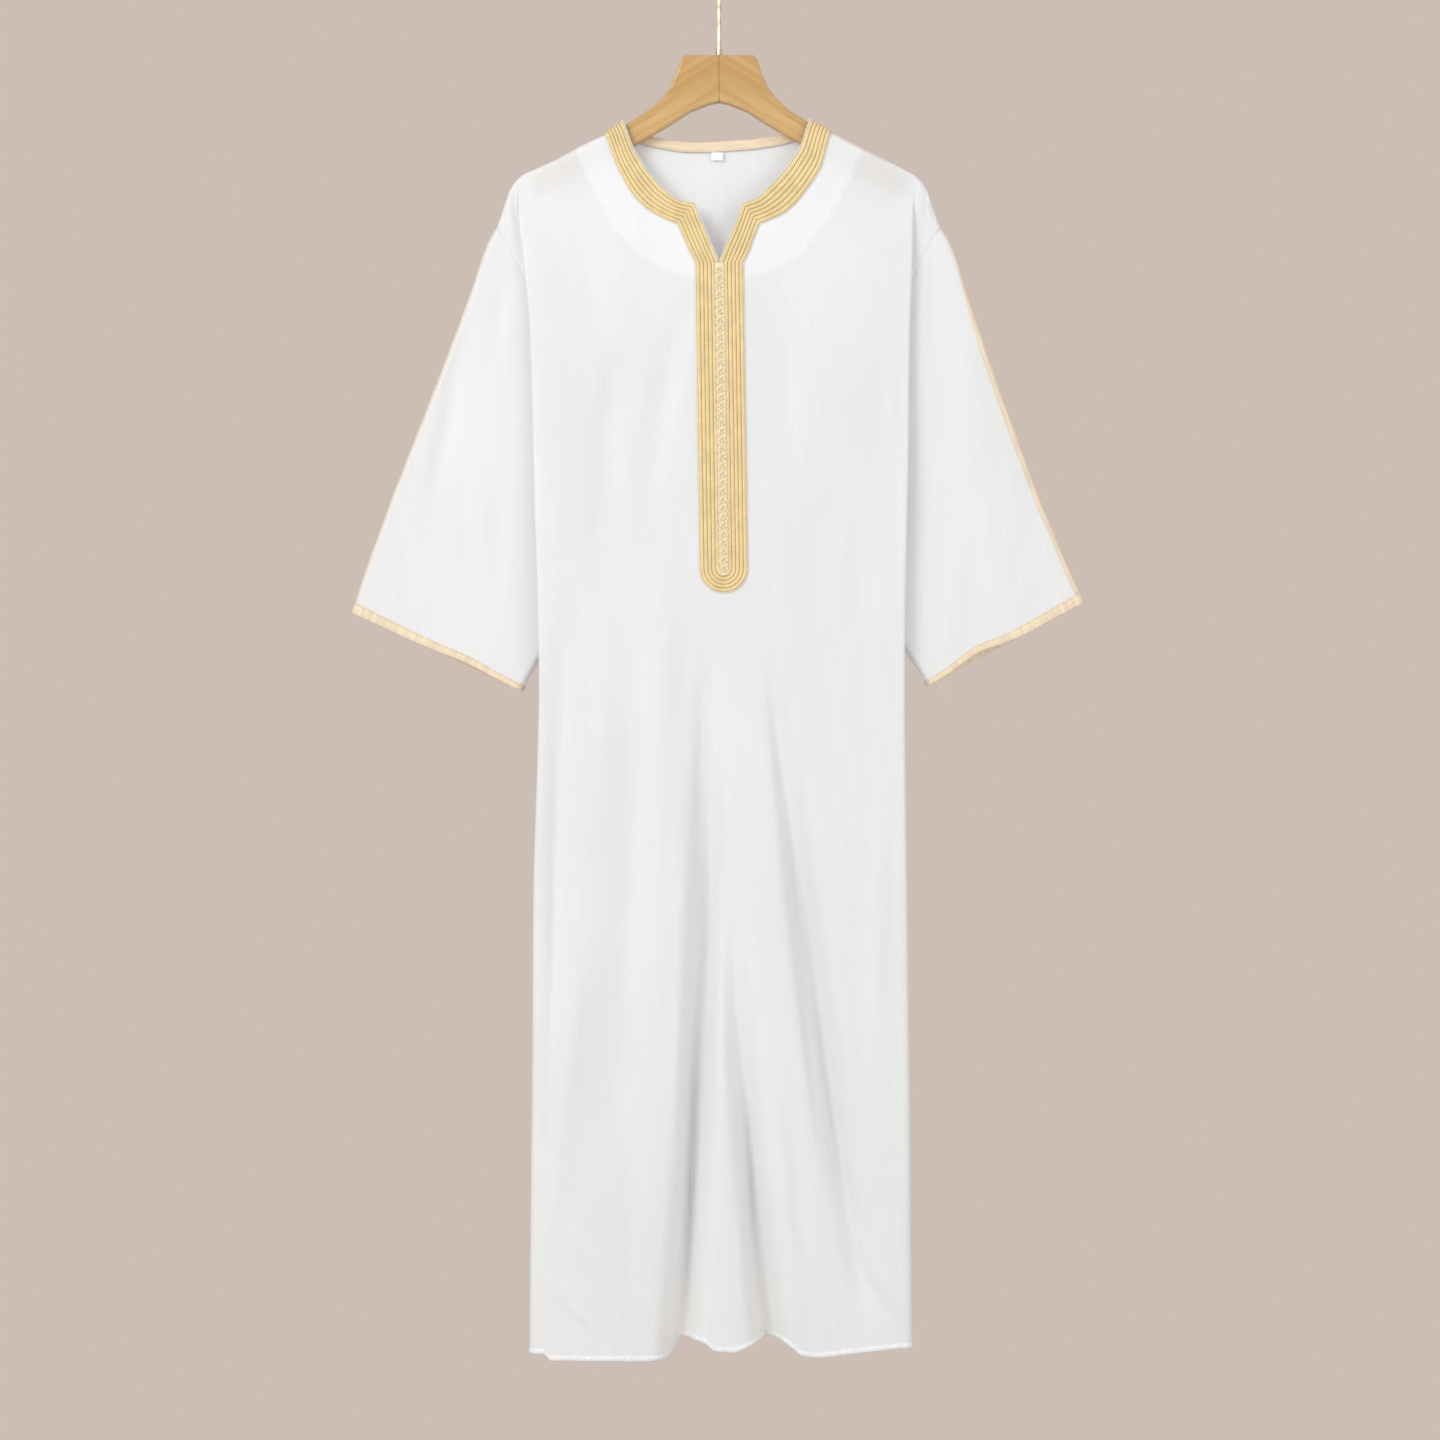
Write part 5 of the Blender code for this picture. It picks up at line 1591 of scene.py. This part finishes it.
def cords_mesh(name, cords):
    """Several twisted cords in one mesh, unrolled so that one unit along is one turn of ply."""
    heap, places = Heap(), []
    for rows, lengths in cords:
        heap.add_grid(rows)
        for r in range(len(rows) - 1):
            for k in range(CORD_STEPS):
                a, b = lengths[r] / PLY_PITCH, lengths[r + 1] / PLY_PITCH
                low, high = k / CORD_STEPS, (k + 1) / CORD_STEPS
                places += [a, low, b, low, b, high, a, high]
    mesh = heap.mesh(name)
    unrolled = mesh.uv_layers.new(name="Unrolled")
    unrolled.data.foreach_set("uv", places)
    return mesh


KNOT_BED = ((-4.9, -1.3), (-4.3, -0.2), (-2.2, 0.06), (0.0, 0.12), (2.2, 0.06), (4.3, -0.2),
            (4.9, -1.3))
BEADS = table(
    "offset lean drop rise sizes",
    (-0.1, 0.0, 0.0, 0.1, (1.1, 1.2, 0.7)),
    (0.3, 0.6, KNOT_PITCH / 2, 0.4, (2.7, 1.35, 1.0)),
    (-3.3, 0.0, 2.4, 0.2, (1.3, 1.8, 0.9)),
    (3.5, 0.3, -1.2, 0.35, (1.3, 2.4, 1.0)),
)
SCALLOPS = table(
    "offset wander rise radius",
    (4.1, 0.8, 0.1, 0.7), (-4.4, 0.5, 0.0, 0.6),
)
SCALLOP_STEPS = 12
BED_STEPS = 160


class ROBE_OT_knots(bpy.types.Operator):
    """Make the close row of knots and loops down the placket"""
    bl_idname = "robe.knots"
    bl_label = "Knots"

    def execute(self, context):
        rings, loops = Heap(), Heap()
        crown = BRAID_LIFT + BRAID_BASE - CORD_SINK + settings().cord_height
        across, down, out = Vector((1, 0, 0)), Vector((0, 0, -1)), Vector((0, -1, 0))
        run = KNOT_PITCH * KNOT_COUNT

        def spot(offset, drop, height):
            point = on_front(placket_middle(drop), drop, crown + height)
            return point + across * offset * MM

        for k in range(KNOT_COUNT):
            drop = KNOT_START_DROP + KNOT_PITCH * (k + 0.5)
            lean = 0.5 * math.sin(k * 2.1)
            way = (down + across * 0.18 * math.sin(k * 1.3)).normalized()
            side = way.cross(out)
            middle = spot(-0.3 + lean * 0.4, drop, 0.45)
            rings.add_ring(middle, side, way, out, 2.3, 2.5, 0.85, 2.2 + lean)
            for bead in BEADS:
                place = spot(bead.offset + lean * bead.lean, drop + bead.drop, bead.rise)
                loops.add_bead(place, side, way, out, bead.sizes)
        strip = [[spot(offset, KNOT_START_DROP - 3.0 + (run + 4.0) * k / BED_STEPS, height)
                  for offset, height in KNOT_BED] for k in range(BED_STEPS + 1)]
        loops.add_grid(strip)
        steps = KNOT_COUNT * SCALLOP_STEPS
        for row in SCALLOPS:
            points = []
            for k in range(steps + 1):
                turn = 2 * math.pi * k / SCALLOP_STEPS + row.offset
                points.append(spot(row.offset + row.wander * math.sin(turn),
                                   KNOT_START_DROP + run * k / steps,
                                   row.rise + 0.3 * math.cos(turn)))
            loops.add_tube(tube_rows(points, [out] * len(points), row.radius, 5))
        piece_of("knot_rings", rings.mesh("knot_rings"), finish_named("gold_thread", gold_thread),
                 "cream_knots", "knot_buttons")
        piece_of("knot_loops", loops.mesh("knot_loops"), finish_named("cream_thread", cream_thread),
                 "cream_knots")
        return {"FINISHED"}


THREAD_ENDS = table(
    "x drop x_middle drop_middle x_end drop_end",
    (235.4, 800.0, 240.0, 812.0, 253.5, 818.2), (238.0, 801.5, 243.5, 806.0, 246.0, 813.5),
    (-220.2, 805.0, -221.5, 809.5, -217.8, 812.0),
)
END_STEPS = 12


class ROBE_OT_thread_ends(bpy.types.Operator):
    """Make the short loose ends of thread at the cuffs"""
    bl_idname = "robe.thread_ends"
    bl_label = "Thread ends"

    def execute(self, context):
        heap = Heap()
        for end in THREAD_ENDS:
            points = []
            for k in range(END_STEPS + 1):
                t = k / END_STEPS
                x, drop = (((1 - t) ** 2 * a + 2 * t * (1 - t) * b + t * t * c) for a, b, c in (
                    (end.x, end.x_middle, end.x_end), (end.drop, end.drop_middle, end.drop_end)))
                points.append(world(x, 2.0 + 3.0 * t, drop, -1))
            heap.add_tube(tube_rows(points, [Vector((0, -1, 0))] * len(points), 0.22, 4))
        piece_of("thread_ends", heap.mesh("thread_ends"),
                 finish_named("white_thread", white_thread), "white_cloth")
        return {"FINISHED"}


class ROBE_OT_hanger(bpy.types.Operator):
    """Finish the wooden hanger, its collar and its wire hook"""
    bl_idname = "robe.hanger"
    bl_label = "Hanger"

    def execute(self, context):
        for node, name, maker in (("hanger", "beech", beech_finish),
                                  ("hook_ferrule", "brass", brass_finish),
                                  ("hook", "brass", brass_finish)):
            piece = frame["nodes"][node]
            for holder in piece.material_slots:
                holder.material = finish_named(f"{name}_finish", maker)
        return {"FINISHED"}


def floor_finish(name):
    finish = Finish(name, srgb(214, 206, 198), 0.7, specular=0.3)
    mottle = finish.grain(finish.place((9.0, 9.0, 9.0)), 1.0, 3.0)
    finish.tones(mottle, 0.3, 0.7, srgb(210, 201, 193), srgb(220, 212, 204))
    return finish.material


CAMERA_DISTANCE = 3.2
CAMERA_HEIGHT = -0.8381
CAMERA_ACROSS = 0.0011
FRAME_WIDTH = 1.5696
SENSOR = 36.0
BEHIND_SHARE = 0.55
LIGHT_TARGET = (0.0, 0.0, -0.8)
LIGHTS = table(
    "name place size colour",
    ("key_light", (-2.35, -2.85, 0.85), (1.5, 1.9), (0.985, 0.995, 1.0)),
    ("fill_light", (2.6, -2.6, 0.2), (1.6, 2.0), (0.98, 0.99, 1.0)),
    ("back_light", (0.6, 2.9, 0.5), (1.8, 1.8), (1.0, 0.98, 0.96)),
)
FLOOR_RADIUS = 1.05


def add_light(row):
    """A soft light that faces the robe, with its power from the settings."""
    light = bpy.data.lights.new(row.name, "AREA")
    light.shape = "RECTANGLE"
    light.size, light.size_y = row.size
    light.energy = getattr(settings(), row.name)
    light.color = row.colour
    lamp = bpy.data.objects.new(row.name, light)
    bpy.context.scene.collection.objects.link(lamp)
    lamp.location = row.place
    way = Vector(LIGHT_TARGET) - Vector(row.place)
    lamp.rotation_euler = way.to_track_quat("-Z", "Y").to_euler()


class ROBE_OT_stage(bpy.types.Operator):
    """Make the pale floor, the soft studio light and the camera"""
    bl_idname = "robe.stage"
    bl_label = "Stage"

    def execute(self, context):
        scene = context.scene
        bpy.ops.mesh.primitive_circle_add(vertices=96, radius=FLOOR_RADIUS, fill_type="NGON",
                                          location=(0.0, 0.0, -settings().floor_drop))
        floor = context.object
        floor.name = "studio_floor"
        floor.data.materials.append(finish_named("studio_floor", floor_finish))
        for row in LIGHTS:
            add_light(row)
        self.surround(scene)
        camera_data = bpy.data.cameras.new("camera")
        camera_data.sensor_width = SENSOR
        camera_data.lens = SENSOR * CAMERA_DISTANCE / FRAME_WIDTH
        camera = bpy.data.objects.new("camera", camera_data)
        scene.collection.objects.link(camera)
        camera.location = (CAMERA_ACROSS, -CAMERA_DISTANCE, CAMERA_HEIGHT)
        camera.rotation_euler = (math.pi / 2, 0.0, 0.0)
        scene.camera = camera
        scene.view_settings.view_transform = "Standard"
        return {"FINISHED"}

    def surround(self, scene):
        """A plain warm backdrop colour, with paler soft light all round and less from behind."""
        world_data = bpy.data.worlds.new("studio")
        world_data.use_nodes = True
        scene.world = world_data
        tree = world_data.node_tree
        shown = tree.nodes["Background"]
        lit = tree.nodes.new("ShaderNodeBackground")
        rays = tree.nodes.new("ShaderNodeLightPath")
        either = tree.nodes.new("ShaderNodeMixShader")
        shown.inputs["Color"].default_value = (*srgb(204, 190, 180), 1.0)
        lit.inputs["Color"].default_value = (*srgb(243, 244, 246), 1.0)
        ways = tree.nodes.new("ShaderNodeTexCoord")
        parts = tree.nodes.new("ShaderNodeSeparateXYZ")
        behind = tree.nodes.new("ShaderNodeMapRange")
        strengths = (("From Min", -0.2), ("From Max", 0.5), ("To Min", settings().surround),
                     ("To Max", BEHIND_SHARE * settings().surround))
        for name, value in strengths:
            behind.inputs[name].default_value = value
        for start, stop in ((ways.outputs["Generated"], parts.inputs[0]),
                            (parts.outputs["Y"], behind.inputs["Value"]),
                            (behind.outputs["Result"], lit.inputs["Strength"]),
                            (rays.outputs["Is Camera Ray"], either.inputs["Fac"]),
                            (lit.outputs["Background"], either.inputs[1]),
                            (shown.outputs["Background"], either.inputs[2]),
                            (either.outputs["Shader"], tree.nodes["World Output"].inputs[0])):
            tree.links.new(start, stop)


STEPS = ("hanger", "front", "back", "sleeves", "cuffs", "tapes", "neck_binding", "label", "braid",
         "knots", "thread_ends", "stage")


class ROBE_PT_sidebar(bpy.types.Panel):
    """Lists the robe's pieces and the sizes and colours that can be changed"""
    bl_idname = "ROBE_PT_sidebar"
    bl_label = "Robe on a hanger"
    bl_space_type = "VIEW_3D"
    bl_region_type = "UI"
    bl_category = "Robe"

    def draw(self, context):
        for name in RobeSettings.__annotations__:
            self.layout.prop(context.scene.robe, name)
        for step in STEPS:
            self.layout.operator(f"robe.{step}")


CLASSES = (RobeSettings, ROBE_OT_hanger, ROBE_OT_front, ROBE_OT_back, ROBE_OT_sleeves,
           ROBE_OT_cuffs, ROBE_OT_tapes, ROBE_OT_neck_binding, ROBE_OT_label, ROBE_OT_braid,
           ROBE_OT_knots, ROBE_OT_thread_ends, ROBE_OT_stage, ROBE_PT_sidebar)


def register():
    for kind in CLASSES:
        bpy.utils.register_class(kind)
    bpy.types.Scene.robe = bpy.props.PointerProperty(type=RobeSettings)


def unregister():
    del bpy.types.Scene.robe
    for kind in reversed(CLASSES):
        bpy.utils.unregister_class(kind)


def main():
    register()
    bpy.ops.robe.hanger()
    bpy.ops.robe.front()
    bpy.ops.robe.back()
    bpy.ops.robe.sleeves()
    bpy.ops.robe.cuffs()
    bpy.ops.robe.tapes()
    bpy.ops.robe.neck_binding()
    bpy.ops.robe.label()
    bpy.ops.robe.braid()
    bpy.ops.robe.knots()
    bpy.ops.robe.thread_ends()
    bpy.ops.robe.stage()


if __name__ == "__main__":
    main()
